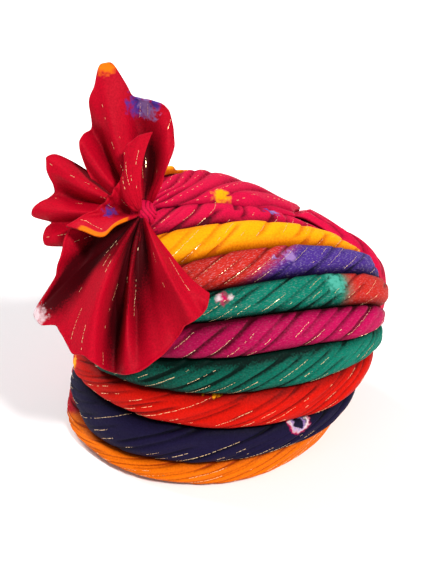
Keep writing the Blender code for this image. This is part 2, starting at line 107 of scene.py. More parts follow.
# Mesh steps along and across each form, the lift of the navy roll's lower edge at the left, and
# how deep, how sharp and how long the twist's creases run
ROLL_STEPS = 420
ROLL_SECTION_STEPS = 36
RIM_STEPS = 760
RIM_SECTION_STEPS = 30
TOP_WRAP_STEPS = (440, 90)
BACK_WRAP_STEPS = (330, 110)
CROWN_STEPS = (180, 61)
FAR_ROLL_STEPS = (161, 29)
KNOT_STEPS = (150, 62)
NAVY_PARTING = 0.42
PARTING_TURN = math.radians(-52.0)
PARTING_SWEEP = math.radians(30.0)
CREASE_DEPTHS = (0.00045, 0.0014)
CREASE_SHARP_SIDES = (0.0007, 0.0014)
CREASE_LONG_SIDES = (0.0030, 0.0062)
SWELL_HEIGHT = 0.0005
CREASE_SHADE_DEPTH = 0.0011

# Top wrap: its swell over the dome at the right, by reach from the knot and turn, and its dip
PLUMP_RISE = 0.0042
PLUMP_REACH = 0.095
PLUMP_WIDTH = 0.045
PLUMP_TURN = 1.7
DIP_PLACE = (-0.020, 0.010)
DIP_WIDTHS = (0.017, 0.022)

# Gold threads: distance between two lines on a roll, length and widths of a dash, and how far it
# stands off the cloth
ZARI_SPACING = 0.0155
DASH_LENGTH = 0.0017
ROLL_DASH_WIDTH = 0.00026
FAN_DASH_WIDTH = 0.00022
DASH_THICKNESS = 0.00016
DASH_STAND = 0.00006

# Cloth patterns: noise scales per metre, of the mottle, the grain, a dye change's edge and a
# tied mark's edge; the wave scale of the threads; the stretch of crinkles and of painted glints on the map
CLOUD_SCALE = 22.0
GRAIN_SCALE = 760.0
CHANGE_SCALE = 420.0
SPOT_SCALE = 300.0
GOLD_SCALE = 260.0
THREAD_SCALE = 480.0
CRINKLE_STRETCH = (60.0, 420.0, 1.0)
GLINT_STRETCH = (450.0, 1500.0, 1.0)
# Painted glints of light on the weave: their slant on the map and their pale colour
GLINT_TURN = 0.7
GLINT_COLOUR = (0.75, 0.62, 0.68)

# Where the crown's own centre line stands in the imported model
CROWN_LOW, CROWN_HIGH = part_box("crown")
ORIGIN = np.array([CROWN_LOW.x + RIM_HALF_WIDTH, (CROWN_LOW.y + CROWN_HIGH.y) / 2, 0.0])

# Upper edge of each roll: heights at the left, front and right, and the bow of its right half,
# all as shares of the crown's height
ROLL_EDGES = {
    "ground": (0.000, 0.000, 0.000, 0.000),
    "rim": (0.060, 0.104, 0.165, 0.005),
    "navy": (0.250, 0.264, 0.255, 0.000),
    "vermilion": (0.330, 0.420, 0.385, 0.010),
    "lower_green": (0.370, 0.580, 0.430, 0.015),
    "magenta": (0.400, 0.697, 0.475, 0.015),
    "upper_green": (0.420, 0.776, 0.588, 0.025),
    "violet": (0.445, 0.852, 0.698, 0.035),
    "yellow": (0.475, 0.920, 0.790, 0.050),
    "crimson": (0.540, 0.965, 0.890, 0.050),
}

# Roll, edge below, edge above, first and last turn in degrees, rise as a share, slant of its
# creases in metres across its width, mean distance between creases
ROLLS = (
    ("navy_roll", "rim", "navy", -93, 97, 1.00, 0.050, 0.017),
    ("vermilion_roll", "navy", "vermilion", -93, 97, 1.00, 0.046, 0.014),
    ("lower_green_roll", "vermilion", "lower_green", -64, 98, 1.00, 0.036, 0.012),
    ("magenta_roll", "lower_green", "magenta", -93, 98, 1.00, 0.034, 0.015),
    ("upper_green_roll", "magenta", "upper_green", -93, 100, 1.00, 0.046, 0.019),
    ("violet_roll", "upper_green", "violet", -93, 101, 0.95, 0.052, 0.020),
    ("yellow_roll", "violet", "yellow", -93, 102, 0.85, 0.040, 0.018),
    ("crimson_roll", "yellow", "crimson", -93, 103, 0.60, 0.036, 0.012),
)

# Painted shadow of the fan: how far a roll turns to its shade colour at its left, beside the fan
FAN_SHADOW_PAINT = {"lower_green_roll": 0.62, "magenta_roll": 0.50, "upper_green_roll": 0.42, "violet_roll": 0.10}

# How far the right end of a roll sinks before the back wrap, as a share of its rise
ROLL_SINKS = {
    "crimson_roll": 0.08,
    "yellow_roll": 0.15,
    "violet_roll": 0.30,
    "upper_green_roll": 0.46,
    "magenta_roll": 0.55,
    "lower_green_roll": 0.58,
    "vermilion_roll": 0.66,
    "navy_roll": 0.46,
}

# Folds of each fan piece: angle at the hem and at the knot in degrees from the right, reach as a
# share of FAN_REACH, fold towards the viewer half way out and at the hem as shares of FAN_FOLD,
# stand-off as a share of FAN_STAND
PLUME_FOLDS = (
    (144, 152, 0.378, 0.00, 0.00, 0.0),
    (139.5, 147, 0.454, 0.10, 0.10, 0.0),
    (135.5, 142, 0.526, 0.25, 0.35, 0.0),
    (131, 137, 0.575, 0.30, 0.35, 0.0),
    (127, 132, 0.596, 0.05, 0.10, 0.0),
    (121.5, 127, 0.601, -0.25, -0.25, 0.0),
    (118, 123, 0.669, -0.15, -0.10, 0.0),
    (115.5, 120, 0.752, 0.05, 0.10, 0.0),
    (111, 116, 0.810, 0.20, 0.20, 0.0),
    (108, 113, 0.899, 0.25, 0.25, 0.0),
    (106, 110, 0.930, 0.20, 0.25, 0.0),
    (101.5, 105, 0.925, 0.10, 0.15, 0.0),
    (99, 101, 0.826, 0.00, 0.10, 0.0),
    (95.5, 97, 0.711, -0.30, -0.10, 0.0),
    (90.5, 91, 0.684, -0.60, 0.15, 0.0),
    (85, 84, 0.674, -0.70, 0.50, 0.0),
    (80, 77, 0.658, -0.45, 0.50, 0.0),
    (75.5, 70, 0.637, 0.05, 0.10, 0.0),
    (71.5, 62, 0.543, 0.35, -0.10, 0.0),
    (67, 54, 0.449, 0.40, 0.10, 0.0),
    (64.5, 48, 0.376, 0.30, 0.20, 0.0),
)
LOBE_FOLDS = (
    (201, 206, 0.525, -0.30, -0.40, 0.0),
    (198, 202, 0.630, 0.00, 0.05, 0.0),
    (193.5, 197, 0.625, 0.15, 0.15, 0.0),
    (188, 191, 0.598, -0.05, -0.15, 0.0),
    (184.5, 187, 0.557, -0.20, -0.25, 0.0),
    (181.5, 184, 0.677, 0.10, 0.15, 0.0),
    (178, 180, 0.667, 0.35, 0.30, 0.0),
    (172, 174, 0.593, 0.10, -0.05, 0.0),
    (166, 168, 0.560, -0.20, -0.20, 0.0),
    (161, 164, 0.583, 0.00, -0.05, 0.0),
    (156, 159, 0.643, 0.35, 0.25, 0.0),
    (149.5, 153, 0.680, 0.30, 0.25, 0.0),
    (146, 147, 0.650, -0.05, 0.00, 0.0),
    (143, 142, 0.440, -0.35, -0.30, 0.0),
    (136, 135, 0.357, -0.45, -0.50, 0.0),
)
LOWER_FOLDS = (
    (-168, -162, 0.450, -0.35, 0.10, 0.00),
    (-159, -156, 0.505, -0.50, 0.15, 0.05),
    (-151, -151, 0.560, -0.60, 0.20, 0.10),
    (-144, -147, 0.635, -0.65, -0.10, 0.20),
    (-140, -144, 0.760, -0.75, 0.05, 0.30),
    (-137, -142, 0.880, -0.75, 0.10, 0.35),
    (-132, -139, 0.890, -0.55, 0.15, 0.40),
    (-127.5, -136, 0.835, -0.20, -0.05, 0.45),
    (-122, -133, 0.865, 0.20, 0.10, 0.50),
    (-116, -129, 0.925, 0.60, 0.30, 0.55),
    (-111, -125, 0.890, 0.90, 0.50, 0.60),
    (-107, -121, 0.925, 0.70, 0.45, 0.65),
    (-103.5, -117, 0.950, -0.75, -0.20, 0.70),
    (-99.5, -112, 0.965, -0.95, -0.55, 0.75),
    (-95, -106, 0.955, 0.25, 0.10, 0.80),
    (-91, -100, 0.937, -0.65, 0.05, 0.85),
    (-86, -93, 0.880, -0.45, 0.20, 0.90),
    (-81, -87, 0.842, -0.30, 0.05, 0.95),
    (-75, -80, 0.775, 0.10, -0.10, 1.00),
    (-69, -74, 0.712, 0.55, 0.20, 1.00),
    (-64, -69, 0.702, 0.80, 0.50, 1.00),
    (-59, -66, 0.697, 0.45, 0.30, 1.00),
    (-55, -64, 0.676, 0.15, 0.45, 1.00),
    (-51, -62, 0.624, 0.10, 0.15, 1.00),
)
PETAL_FOLDS = (
    (190, 222, 0.455, 0.50, 0.30, 0.0),
    (187, 214, 0.420, 0.30, 0.25, 0.0),
    (183, 206, 0.360, 0.05, 0.15, 0.0),
    (177, 198, 0.280, -0.25, 0.05, 0.0),
    (168, 190, 0.245, -0.40, -0.05, 0.0),
    (157, 182, 0.225, -0.40, 0.00, 0.0),
    (144, 172, 0.215, -0.25, 0.10, 0.0),
    (130, 162, 0.220, -0.05, 0.20, 0.0),
    (118, 150, 0.240, 0.10, 0.30, 0.0),
    (108, 138, 0.310, 0.20, 0.40, 0.0),
    (101, 126, 0.400, 0.30, 0.50, 0.0),
    (92, 112, 0.440, 0.35, 0.60, 0.0),
    (82, 100, 0.470, 0.25, 0.55, 0.0),
)

# Dyes: full colour, and the painted shade colour that hollows, creases and shaded parts turn to
DYES_AND_SHADES = {
    "crimson": ((0.430, 0.0003, 0.0130), (0.045, 0.0002, 0.0020)),
    # The crimson made pinker, as painted sheen, for the wraps, the knot and the crimson roll
    "crimson_painted_sheen": ((0.560, 0.0030, 0.0440), (0.065, 0.0005, 0.0055)),
    "marigold": ((0.760, 0.1500, 0.0008), (0.260, 0.0280, 0.0005)),
    "navy": ((0.0085, 0.0055, 0.0300), (0.0010, 0.0007, 0.0042)),
    "vermilion": ((0.560, 0.0050, 0.0008), (0.120, 0.0010, 0.0004)),
    "emerald": ((0.0005, 0.165, 0.1080), (0.0002, 0.0080, 0.0055)),
    "magenta": ((0.420, 0.0014, 0.0700), (0.050, 0.0003, 0.0060)),
    "violet": ((0.058, 0.0230, 0.2100), (0.006, 0.0030, 0.0260)),
    "golden": ((0.960, 0.3500, 0.0010), (0.420, 0.0750, 0.0005)),
    "coral": ((0.480, 0.0190, 0.0120), (0.130, 0.0030, 0.0020)),
    "lilac": ((0.260, 0.1500, 0.3800), (0.180, 0.0800, 0.1900)),
    "mint": ((0.060, 0.3400, 0.2600), (0.030, 0.1500, 0.1100)),
    "white": ((0.600, 0.4900, 0.5200), (0.400, 0.2600, 0.2900)),
}


# Crown surface


def girth(height):
    """Centre shift, half width and half depth of the crown's outer ring at a height."""
    height = np.asarray(height, float)
    below = np.clip((CROWN_WIDE_HEIGHT - height) / CROWN_WIDE_HEIGHT, 0.0, 1.0) ** 2
    above = np.clip((height - CROWN_WIDE_HEIGHT) / (CROWN_HEIGHT - CROWN_WIDE_HEIGHT), 0.0, 1.0)
    dome = np.maximum(1.0 - above**DOME_POWER, 1e-9) ** (1.0 / DOME_POWER)
    shift = WIDE_SHIFT * (1.0 - below) + (TOP_SHIFT - WIDE_SHIFT) * above**1.5
    half_width = (WIDE_HALF_WIDTH - (WIDE_HALF_WIDTH - RIM_HALF_WIDTH) * below) * dome
    half_depth = (WIDE_HALF_DEPTH - (WIDE_HALF_DEPTH - RIM_HALF_DEPTH) * below) * dome
    return shift, half_width, half_depth


def side_point(share, turn):
    """A point of the crown's outer surface at a share of its height; turn 0 is the front."""
    height = np.asarray(share, float) * CROWN_HEIGHT
    turn = np.asarray(turn, float)
    shift, half_width, half_depth = girth(height)
    return np.stack(
        [shift + half_width * np.sin(turn), -half_depth * np.cos(turn), height + 0.0 * turn],
        axis=-1,
    )


def outside(points):
    """Negative inside the crown, positive outside it."""
    shift, half_width, half_depth = girth(np.clip(points[..., 2], 0.0, CROWN_HEIGHT))
    across = ((points[..., 0] - shift) / half_width) ** 2
    along = (points[..., 1] / half_depth) ** 2
    return np.where(points[..., 2] > CROWN_HEIGHT, 1.0, across + along - 1.0)


def slope_normals(share, turn):
    """Outward unit normals of the crown's surface, from its two tangents."""
    step = 1e-4
    share = np.clip(share, 0.0, 1.0 - 2.0 * step)
    upward = side_point(share + step, turn) - side_point(np.maximum(share - step, 0.0), turn)
    sideways = side_point(share, turn + step) - side_point(share, turn - step)
    normal = np.cross(sideways, upward)
    return normal / np.linalg.norm(normal, axis=-1, keepdims=True)


def turn_about(points):
    """The turn at which points on the crown stand about its own centre at their height."""
    shift, half_width, half_depth = girth(points[..., 2])
    return np.arctan2((points[..., 0] - shift) / half_width, -points[..., 1] / half_depth)


def half_turn(turn):
    """A turn brought to between minus and plus half a circle."""
    return (turn + math.pi) % (2.0 * math.pi) - math.pi


def ring_points(edge, turn):
    """Where an edge runs over the crown at each turn, and the crown's normals there."""
    edge = np.asarray(edge, float)
    left = side_point(edge[..., 0], -math.pi / 2)
    front = side_point(edge[..., 1], 0.0)
    right = side_point(edge[..., 2], math.pi / 2)
    middle = (left + right) / 2
    reach = np.cos(turn)[..., None] * (front - middle) + np.sin(turn)[..., None] * (right - middle)
    bow = np.where(turn > 0.0, np.sin(2.0 * turn), 0.0)
    reach[..., 2] += edge[..., 3] * CROWN_HEIGHT * bow
    near = np.zeros(turn.shape)
    far = np.full(turn.shape, 4.0)
    for _ in range(34):
        half = (near + far) / 2
        inside = outside(middle + half[..., None] * reach) < 0.0
        near = np.where(inside, half, near)
        far = np.where(inside, far, half)
    points = middle + near[..., None] * reach
    return points, slope_normals(points[..., 2] / CROWN_HEIGHT, turn_about(points))


def smooth(value):
    """0 below 0, 1 above 1 and an even curve between."""
    value = np.clip(value, 0.0, 1.0)
    return value * value * (3.0 - 2.0 * value)


def edge_share(edge, around):
    """The share of the crown's height at which an edge passes each turn about the crown."""
    turn = np.linspace(-math.pi, math.pi, 721)
    points, _ = ring_points(np.tile(np.asarray(edge, float), (len(turn), 1)), turn)
    place = turn_about(points)
    order = np.argsort(place)
    return np.interp(half_turn(around), place[order], points[order, 2] / CROWN_HEIGHT)


def hem_share(around):
    """Lower edge of the top wrap: the crimson roll's edge in front, the hem behind."""
    wrapped = half_turn(around)
    behind = smooth((np.abs(wrapped) - math.radians(100.0)) / math.radians(60.0))
    front = edge_share(ROLL_EDGES["crimson"], np.clip(wrapped, LEFT_SEAM_TURN, RIGHT_SEAM_TURN))
    return front + (BACK_HEM_SHARE - front) * behind


# Mesh helpers


def grid_normals(points, closed=False):
    """Unit normals of a grid of points, from its neighbours."""
    if closed:
        rows = np.concatenate([points[-1:], points, points[:1]])
        along = (rows[2:] - rows[:-2]) / 2
    else:
        along = np.gradient(points, axis=0)
    across = np.gradient(points, axis=1)
    normal = np.cross(along, across)
    return normal / np.maximum(np.linalg.norm(normal, axis=-1, keepdims=True), 1e-12)


def normals_along(points, outward, closed=False):
    """Unit normals of a grid of points, each turned to its own outward direction."""
    facing = grid_normals(points, closed)
    return facing * np.sign((facing * outward).sum(axis=-1, keepdims=True))


def add_object(name, data):
    """An object at the origin, linked to the scene."""
    made = bpy.data.objects.new(name, data)
    bpy.context.scene.collection.objects.link(made)
    return made


def store_values(mesh, name, values, kind="FLOAT"):
    """Keeps a value, or a vector, on each point of a mesh."""
    mark = mesh.attributes.new(name, kind, "POINT")
    mark.data.foreach_set("value" if kind == "FLOAT" else "vector", np.asarray(values, np.float32).ravel())


def make_piece(name, vertices, faces, material, uv=None, painted_shade=None):
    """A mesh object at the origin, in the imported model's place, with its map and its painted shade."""
    mesh = bpy.data.meshes.new(name)
    places = np.asarray(vertices, float) + ORIGIN
    mesh.from_pydata(places.tolist(), [], faces)
    if uv is not None:
        layer = mesh.uv_layers.new(name="cloth")
        corners = np.empty(len(mesh.loops), np.int32)
        mesh.loops.foreach_get("vertex_index", corners)
        layer.data.foreach_set("uv", np.asarray(uv, np.float32)[corners].ravel())
    if painted_shade is not None:
        store_values(mesh, "painted_shade", painted_shade)
    mesh.materials.append(material)
    mesh.shade_smooth()
    mesh.update()
    return add_object(name, mesh)


def face_outwards(piece):
    """Turns all faces of a closed mesh outwards."""
    shape = bmesh.new()
    shape.from_mesh(piece.data)
    bmesh.ops.recalc_face_normals(shape, faces=shape.faces)
    shape.to_mesh(piece.data)
    shape.free()


def grid_faces(rows, columns, closed):
    """Corner numbers of a grid's faces."""
    row = np.arange(rows if closed else rows - 1)[:, None]
    here = row * columns + np.arange(columns - 1)[None, :]
    there = (row + 1) % rows * columns + np.arange(columns - 1)[None, :]
    return np.stack([here, there, there + 1, here + 1], axis=-1).reshape(-1, 4)


def column_pairs(rows, columns, column, closed):
    """Numbers of the points down one column of a grid, and of the ones that follow them."""
    row = np.arange(rows if closed else rows - 1)
    return row * columns + column, (row + 1) % rows * columns + column


def layered(outer, inner, closed=False, pole=None):
    """Vertices and faces of the solid between two matching grids of points."""
    rows, columns = outer.shape[:2]
    count = rows * columns
    vertices = np.concatenate([outer.reshape(-1, 3), inner.reshape(-1, 3)])
    top = grid_faces(rows, columns, closed)
    faces = [*top.tolist(), *(top[:, ::-1] + count).tolist()]
    for edge in (0, columns - 1) if pole is None else (0,):
        a, b = column_pairs(rows, columns, edge, closed)
        faces += np.stack([a, a + count, b + count, b], axis=-1).tolist()
    if not closed:
        for edge in (0, rows - 1):
            a = edge * columns + np.arange(columns - 1)
            faces += np.stack([a, a + 1, a + 1 + count, a + count], axis=-1).tolist()
    if pole is not None:
        vertices = np.concatenate([vertices, np.array(pole)])
        a, b = column_pairs(rows, columns, columns - 1, closed)
        for layer in (0, 1):
            tip = np.full(len(a), 2 * count + layer)
            faces += np.stack([a + layer * count, b + layer * count, tip], axis=-1).tolist()
    return vertices, faces


def build_layered(name, outer, inner, material, uv, painted_shade, closed=False, pole=None):
    """A closed cloth piece between an outer and an inner grid."""
    vertices, faces = layered(outer, inner, closed, pole)
    spare = 0 if pole is None else 2
    flat_uv = np.concatenate([uv.reshape(-1, 2)] * 2 + [np.zeros((spare, 2))])
    # Painted shade: the inner side is painted 0.6 of the way to its shade colour
    inside = np.full(painted_shade.size, 0.6)
    flat_painted_shade = np.concatenate([painted_shade.ravel(), inside, np.zeros(spare)])
    piece = make_piece(name, vertices, faces, material, flat_uv, flat_painted_shade)
    face_outwards(piece)
    return piece


# Materials


def link(tree, start, end):
    """Joins two sockets."""
    tree.links.new(start, end)


def start_group(name, kind, inputs, outputs):
    """A node group with named sockets: its tree, its input node and its output node."""
    tree = bpy.data.node_groups.new(name, kind)
    for title, socket_type, value in inputs:
        made = tree.interface.new_socket(name=title, in_out="INPUT", socket_type=socket_type)
        if value is not None:
            made.default_value = value
    for title, socket_type in outputs:
        tree.interface.new_socket(name=title, in_out="OUTPUT", socket_type=socket_type)
    return tree, tree.nodes.new("NodeGroupInput"), tree.nodes.new("NodeGroupOutput")


def start_material(name):
    """A material with nodes: itself, its tree and its shader."""
    material = bpy.data.materials.new(name)
    material.use_nodes = True
    return material, material.node_tree, material.node_tree.nodes["Principled BSDF"]


def maths(tree, operation, first, second=None, clamp=False):
    """A Math node on values or sockets."""
    node = tree.nodes.new("ShaderNodeMath")
    node.operation = operation
    node.use_clamp = clamp
    for index, value in enumerate((first, second)):
        if value is None:
            continue
        if hasattr(value, "is_linked"):
            link(tree, value, node.inputs[index])
        else:
            node.inputs[index].default_value = value
    return node.outputs[0]


def blend_colours(tree, share, first, second):
    """A colour Mix node; share is a socket, first and second are colours or sockets."""
    node = tree.nodes.new("ShaderNodeMix")
    node.data_type = "RGBA"
    for place, value in ((0, share), (6, first), (7, second)):
        if hasattr(value, "is_linked"):
            link(tree, value, node.inputs[place])
        else:
            node.inputs[place].default_value = (*value, 1.0)
    return node.outputs[2]


def add_noise(tree, vector, scale, detail=2.0, distortion=0.0):
    """A noise pattern's value."""
    node = tree.nodes.new("ShaderNodeTexNoise")
    node.inputs["Scale"].default_value = scale
    node.inputs["Detail"].default_value = detail
    node.inputs["Distortion"].default_value = distortion
    link(tree, vector, node.inputs["Vector"])
    return node.outputs["Fac"]


def stretch_map(tree, vector, scales, turn=0.0):
    """A pattern's own place, stretched and turned on the cloth's map."""
    node = tree.nodes.new("ShaderNodeMapping")
    node.inputs["Rotation"].default_value = (0.0, 0.0, turn)
    node.inputs["Scale"].default_value = scales
    link(tree, vector, node.inputs["Vector"])
    return node.outputs[0]


def read_value(tree, name):
    """A value kept on the points of a piece."""
    node = tree.nodes.new("ShaderNodeAttribute")
    node.attribute_name = name
    return node.outputs["Fac"]


def make_crepe_group():
    """Dyed crepe: mottle, thread grain, painted glints, fine crinkles and painted shade in hollows."""
    tree, start, end = start_group(
        "dyed_crepe",
        "ShaderNodeTree",
        (
            ("Dye", "NodeSocketColor", (0.5, 0.0, 0.03, 1.0)),
            ("Shade Colour", "NodeSocketColor", (0.1, 0.0, 0.01, 1.0)),
            ("Mottle", "NodeSocketFloat", 0.30),
            ("Crinkle", "NodeSocketFloat", 1.0),
            ("Glint", "NodeSocketFloat", 0.0),
        ),
        (("Colour", "NodeSocketColor"), ("Roughness", "NodeSocketFloat"), ("Height", "NodeSocketFloat")),
    )
    place = tree.nodes.new("ShaderNodeTexCoord")
    cloud = add_noise(tree, place.outputs["Object"], CLOUD_SCALE, 3.0)
    grain = add_noise(tree, place.outputs["Object"], GRAIN_SCALE)
    painted_shade = read_value(tree, "painted_shade")

    # Crinkles run along the folds, which follow the map's first direction
    crinkle = add_noise(tree, stretch_map(tree, place.outputs["UV"], CRINKLE_STRETCH), 1.0, 3.0, 0.6)

    # Threads: two crossing waves on the cloth's own map
    threads = []
    for direction in ("X", "Y"):
        wave = tree.nodes.new("ShaderNodeTexWave")
        wave.bands_direction = direction
        wave.inputs["Scale"].default_value = THREAD_SCALE
        wave.inputs["Distortion"].default_value = 1.5
        link(tree, place.outputs["UV"], wave.inputs["Vector"])
        threads.append(wave.outputs["Fac"])
    weave = maths(tree, "MULTIPLY", threads[0], threads[1])

    # Painted shade: the colour turns to the shade colour by each piece's painted shade values, and the dye
    # is uneven by mottle and grain
    uneven = maths(tree, "MULTIPLY", maths(tree, "SUBTRACT", cloud, 0.5), start.outputs["Mottle"])
    speck = maths(tree, "MULTIPLY", maths(tree, "SUBTRACT", grain, 0.5), 0.80)
    deep = maths(tree, "ADD", maths(tree, "ADD", painted_shade, uneven), speck)
    deep = maths(tree, "ADD", deep, 0.10, clamp=True)
    colour = blend_colours(tree, deep, start.outputs["Dye"], start.outputs["Shade Colour"])

    # Painted glints: pale flecks of light drawn out along the threads, kept out of the painted shade
    glint = add_noise(tree, stretch_map(tree, place.outputs["UV"], GLINT_STRETCH, GLINT_TURN), 1.0, 1.0)
    glint_share = maths(tree, "MULTIPLY", maths(tree, "SUBTRACT", glint, 0.56), 7.0, clamp=True)
    glint_share = maths(tree, "MULTIPLY", glint_share, start.outputs["Glint"])
    glint_share = maths(tree, "MULTIPLY", glint_share, maths(tree, "SUBTRACT", 1.0, painted_shade, clamp=True))
    link(tree, blend_colours(tree, glint_share, colour, GLINT_COLOUR), end.inputs["Colour"])

    rough = maths(tree, "MULTIPLY", speck, 0.35)
    link(tree, maths(tree, "ADD", rough, 0.62), end.inputs["Roughness"])

    height = maths(tree, "MULTIPLY", crinkle, start.outputs["Crinkle"])
    height = maths(tree, "ADD", height, maths(tree, "MULTIPLY", grain, 0.35))
    height = maths(tree, "ADD", height, maths(tree, "MULTIPLY", weave, 0.12))
    link(tree, height, end.inputs["Height"])
    return tree


def make_spot_group():
    """A tie-dyed mark: 1 in a ragged spot or ring round a point of the cloth, 0 outside it."""
    tree, start, end = start_group(
        "dye_spot",
        "ShaderNodeTree",
        (
            ("Centre", "NodeSocketVector", None),
            ("Radius", "NodeSocketFloat", 0.006),
            ("Inner Radius", "NodeSocketFloat", 0.0),
            ("Ragged", "NodeSocketFloat", 0.4),
            ("Soft", "NodeSocketFloat", 0.5),
        ),
        (("Mask", "NodeSocketFloat"),),
    )
    radius = start.outputs["Radius"]
    place = tree.nodes.new("ShaderNodeTexCoord")
    away = tree.nodes.new("ShaderNodeVectorMath")
    away.operation = "DISTANCE"
    link(tree, place.outputs["Object"], away.inputs[0])
    link(tree, start.outputs["Centre"], away.inputs[1])
    noise = add_noise(tree, place.outputs["Object"], SPOT_SCALE, 3.0)
    ragged = maths(tree, "MULTIPLY", maths(tree, "SUBTRACT", noise, 0.5), start.outputs["Ragged"])
    ragged = maths(tree, "MULTIPLY", maths(tree, "MULTIPLY", ragged, radius), 4.0)
    edge = maths(tree, "ADD", away.outputs["Value"], ragged)
    soft = maths(tree, "MULTIPLY", radius, start.outputs["Soft"])

    def step_down(limit):
        return maths(tree, "DIVIDE", maths(tree, "SUBTRACT", limit, edge), soft, clamp=True)

    outer = step_down(radius)
    inner = step_down(start.outputs["Inner Radius"])
    link(tree, maths(tree, "SUBTRACT", outer, inner, clamp=True), end.inputs["Mask"])
    return tree


CREPE = make_crepe_group()
SPOT = make_spot_group()


def make_cloth(name, dye, spots=(), change=None, crinkle=1.0, glint_amount=0.0):
    """A dyed cloth; spots are (dye, place, radius, inner radius, ragged), and change is the
    second dye that a piece's "change" values turn to."""
    # deep is the painted shade colour, and second_deep is the second dye's painted shade colour
    full, deep = DYES_AND_SHADES[dye]
    material, tree, shader = start_material(name)
    crepe = tree.nodes.new("ShaderNodeGroup")
    crepe.node_tree = CREPE
    crepe.inputs["Dye"].default_value = (*full, 1.0)
    crepe.inputs["Shade Colour"].default_value = (*deep, 1.0)
    crepe.inputs["Crinkle"].default_value = crinkle
    crepe.inputs["Glint"].default_value = glint_amount
    if change is not None:
        mark = read_value(tree, "change")
        place = tree.nodes.new("ShaderNodeTexCoord")
        blur = add_noise(tree, place.outputs["Object"], CHANGE_SCALE, 3.0)
        ragged = maths(tree, "MULTIPLY", maths(tree, "SUBTRACT", blur, 0.5), 1.6)
        from_middle = maths(tree, "ABSOLUTE", maths(tree, "SUBTRACT", mark, 0.5))
        wide = maths(tree, "SUBTRACT", 0.5, from_middle)
        share = maths(tree, "ADD", mark, maths(tree, "MULTIPLY", ragged, wide), clamp=True)
        second, second_deep = DYES_AND_SHADES[change]
        link(tree, blend_colours(tree, share, full, second), crepe.inputs["Dye"])
        link(tree, blend_colours(tree, share, deep, second_deep), crepe.inputs["Shade Colour"])
    colour = crepe.outputs["Colour"]
    for spot_dye, place, radius, inner, ragged in spots:
        spot = tree.nodes.new("ShaderNodeGroup")
        spot.node_tree = SPOT
        spot.inputs["Centre"].default_value = tuple(float(v) for v in np.asarray(place) + ORIGIN)
        spot.inputs["Radius"].default_value = radius
        spot.inputs["Inner Radius"].default_value = inner
        spot.inputs["Ragged"].default_value = ragged
        spot.inputs["Soft"].default_value = 0.22 if inner else 0.65
        colour = blend_colours(tree, spot.outputs["Mask"], colour, DYES_AND_SHADES[spot_dye][0])
    link(tree, colour, shader.inputs["Base Color"])
    link(tree, crepe.outputs["Roughness"], shader.inputs["Roughness"])
    bump = tree.nodes.new("ShaderNodeBump")
    bump.inputs["Strength"].default_value = 0.22
    bump.inputs["Distance"].default_value = 0.0007
    link(tree, crepe.outputs["Height"], bump.inputs["Height"])
    link(tree, bump.outputs["Normal"], shader.inputs["Normal"])
    shader.inputs["Specular IOR Level"].default_value = 0.06
    shader.inputs["Sheen Weight"].default_value = 0.02
    shader.inputs["Sheen Roughness"].default_value = 0.4
    shader.inputs["Sheen Tint"].default_value = (*[min(1.0, 0.35 + v) for v in full], 1.0)
    return material


def make_zari():
    """Gold thread: bright metal with small changes in tone."""
    material, tree, shader = start_material("zari_gold")
    place = tree.nodes.new("ShaderNodeTexCoord")
    tone = add_noise(tree, place.outputs["Object"], GOLD_SCALE)
    link(tree, blend_colours(tree, tone, (1.0, 0.50, 0.16), (1.0, 0.86, 0.58)), shader.inputs["Base Color"])
    rough = maths(tree, "MULTIPLY", tone, 0.4)
    link(tree, maths(tree, "ADD", rough, 0.12), shader.inputs["Roughness"])
    shader.inputs["Metallic"].default_value = 0.60
    return material


# Twisted rolls


def roll_grid(low, high, first, last, steps, section_steps, closed=False, parting=0.0):
    """Points, normals, place across and tuck of one roll's twisted grid; parting lifts its lower
    edge off the roll below, at its left end."""
    along = np.linspace(0.0, 1.0, steps + 1)
    if closed:
        along = along[:-1]
    across = (1.0 - np.cos(np.linspace(0.0, 1.0, section_steps + 1) * math.pi)) / 2
    along, across = np.meshgrid(along, across, indexing="ij")
    turn = first + (last - first) * along
    if closed:
        tuck = np.ones(along.shape)
    else:
        ends = np.minimum(turn - first, last - turn) / TUCK_TURN
        tuck = np.sin(np.clip(ends, 0.0, 1.0) * math.pi / 2)
    turn = turn + ROLL_TWIST * (across - 0.5) * tuck
    low, high = np.asarray(low), np.asarray(high)
    narrow = TUCK_WIDTH + (1.0 - TUCK_WIDTH) * tuck
    place = 0.5 + (across - 0.5) * 0.985 * narrow
    place = place + parting * (1.0 - across) * smooth((PARTING_TURN - turn) / PARTING_SWEEP)
    points, normals = ring_points(low + (high - low) * place[..., None], turn)
    return points, normals, across, tuck


def crease_field(run, across, slant, spacing, rng, closed_length=None):
    """Height of the twist's creases: sharp on one side and long on the other, and where they are."""
    side = 2.0 * across - 1.0
    q = run - slant / 2 * (0.45 * side + 0.55 * np.arcsin(0.97 * side) / (math.pi / 2))
    height = np.zeros(run.shape)
    length = run.max() if closed_length is None else closed_length
    at = -slant / 2 + spacing * 0.5
    while at < length + slant / 2:
        depth = rng.uniform(*CREASE_DEPTHS)
        sharp = rng.uniform(*CREASE_SHARP_SIDES)
        long = rng.uniform(*CREASE_LONG_SIDES)
        middle = rng.uniform(-0.6, 0.6)
        half = rng.uniform(0.55, 1.5)
        bend = rng.uniform(-0.003, 0.003)
        gap = q - at - bend * side**2
        if closed_length is not None:
            gap = (gap + length / 2) % length - length / 2
        fall = np.where(gap < 0.0, np.exp(-((gap / sharp) ** 2)), np.exp(-((gap / long) ** 2)))
        reach = smooth((half - np.abs(side - middle)) / 0.35)
        swell = np.exp(-(((gap - 1.9 * long) / (1.3 * long)) ** 2))
        height += depth * reach * (0.35 * swell - fall)
        at += spacing * rng.uniform(0.55, 1.5)
    return height, q


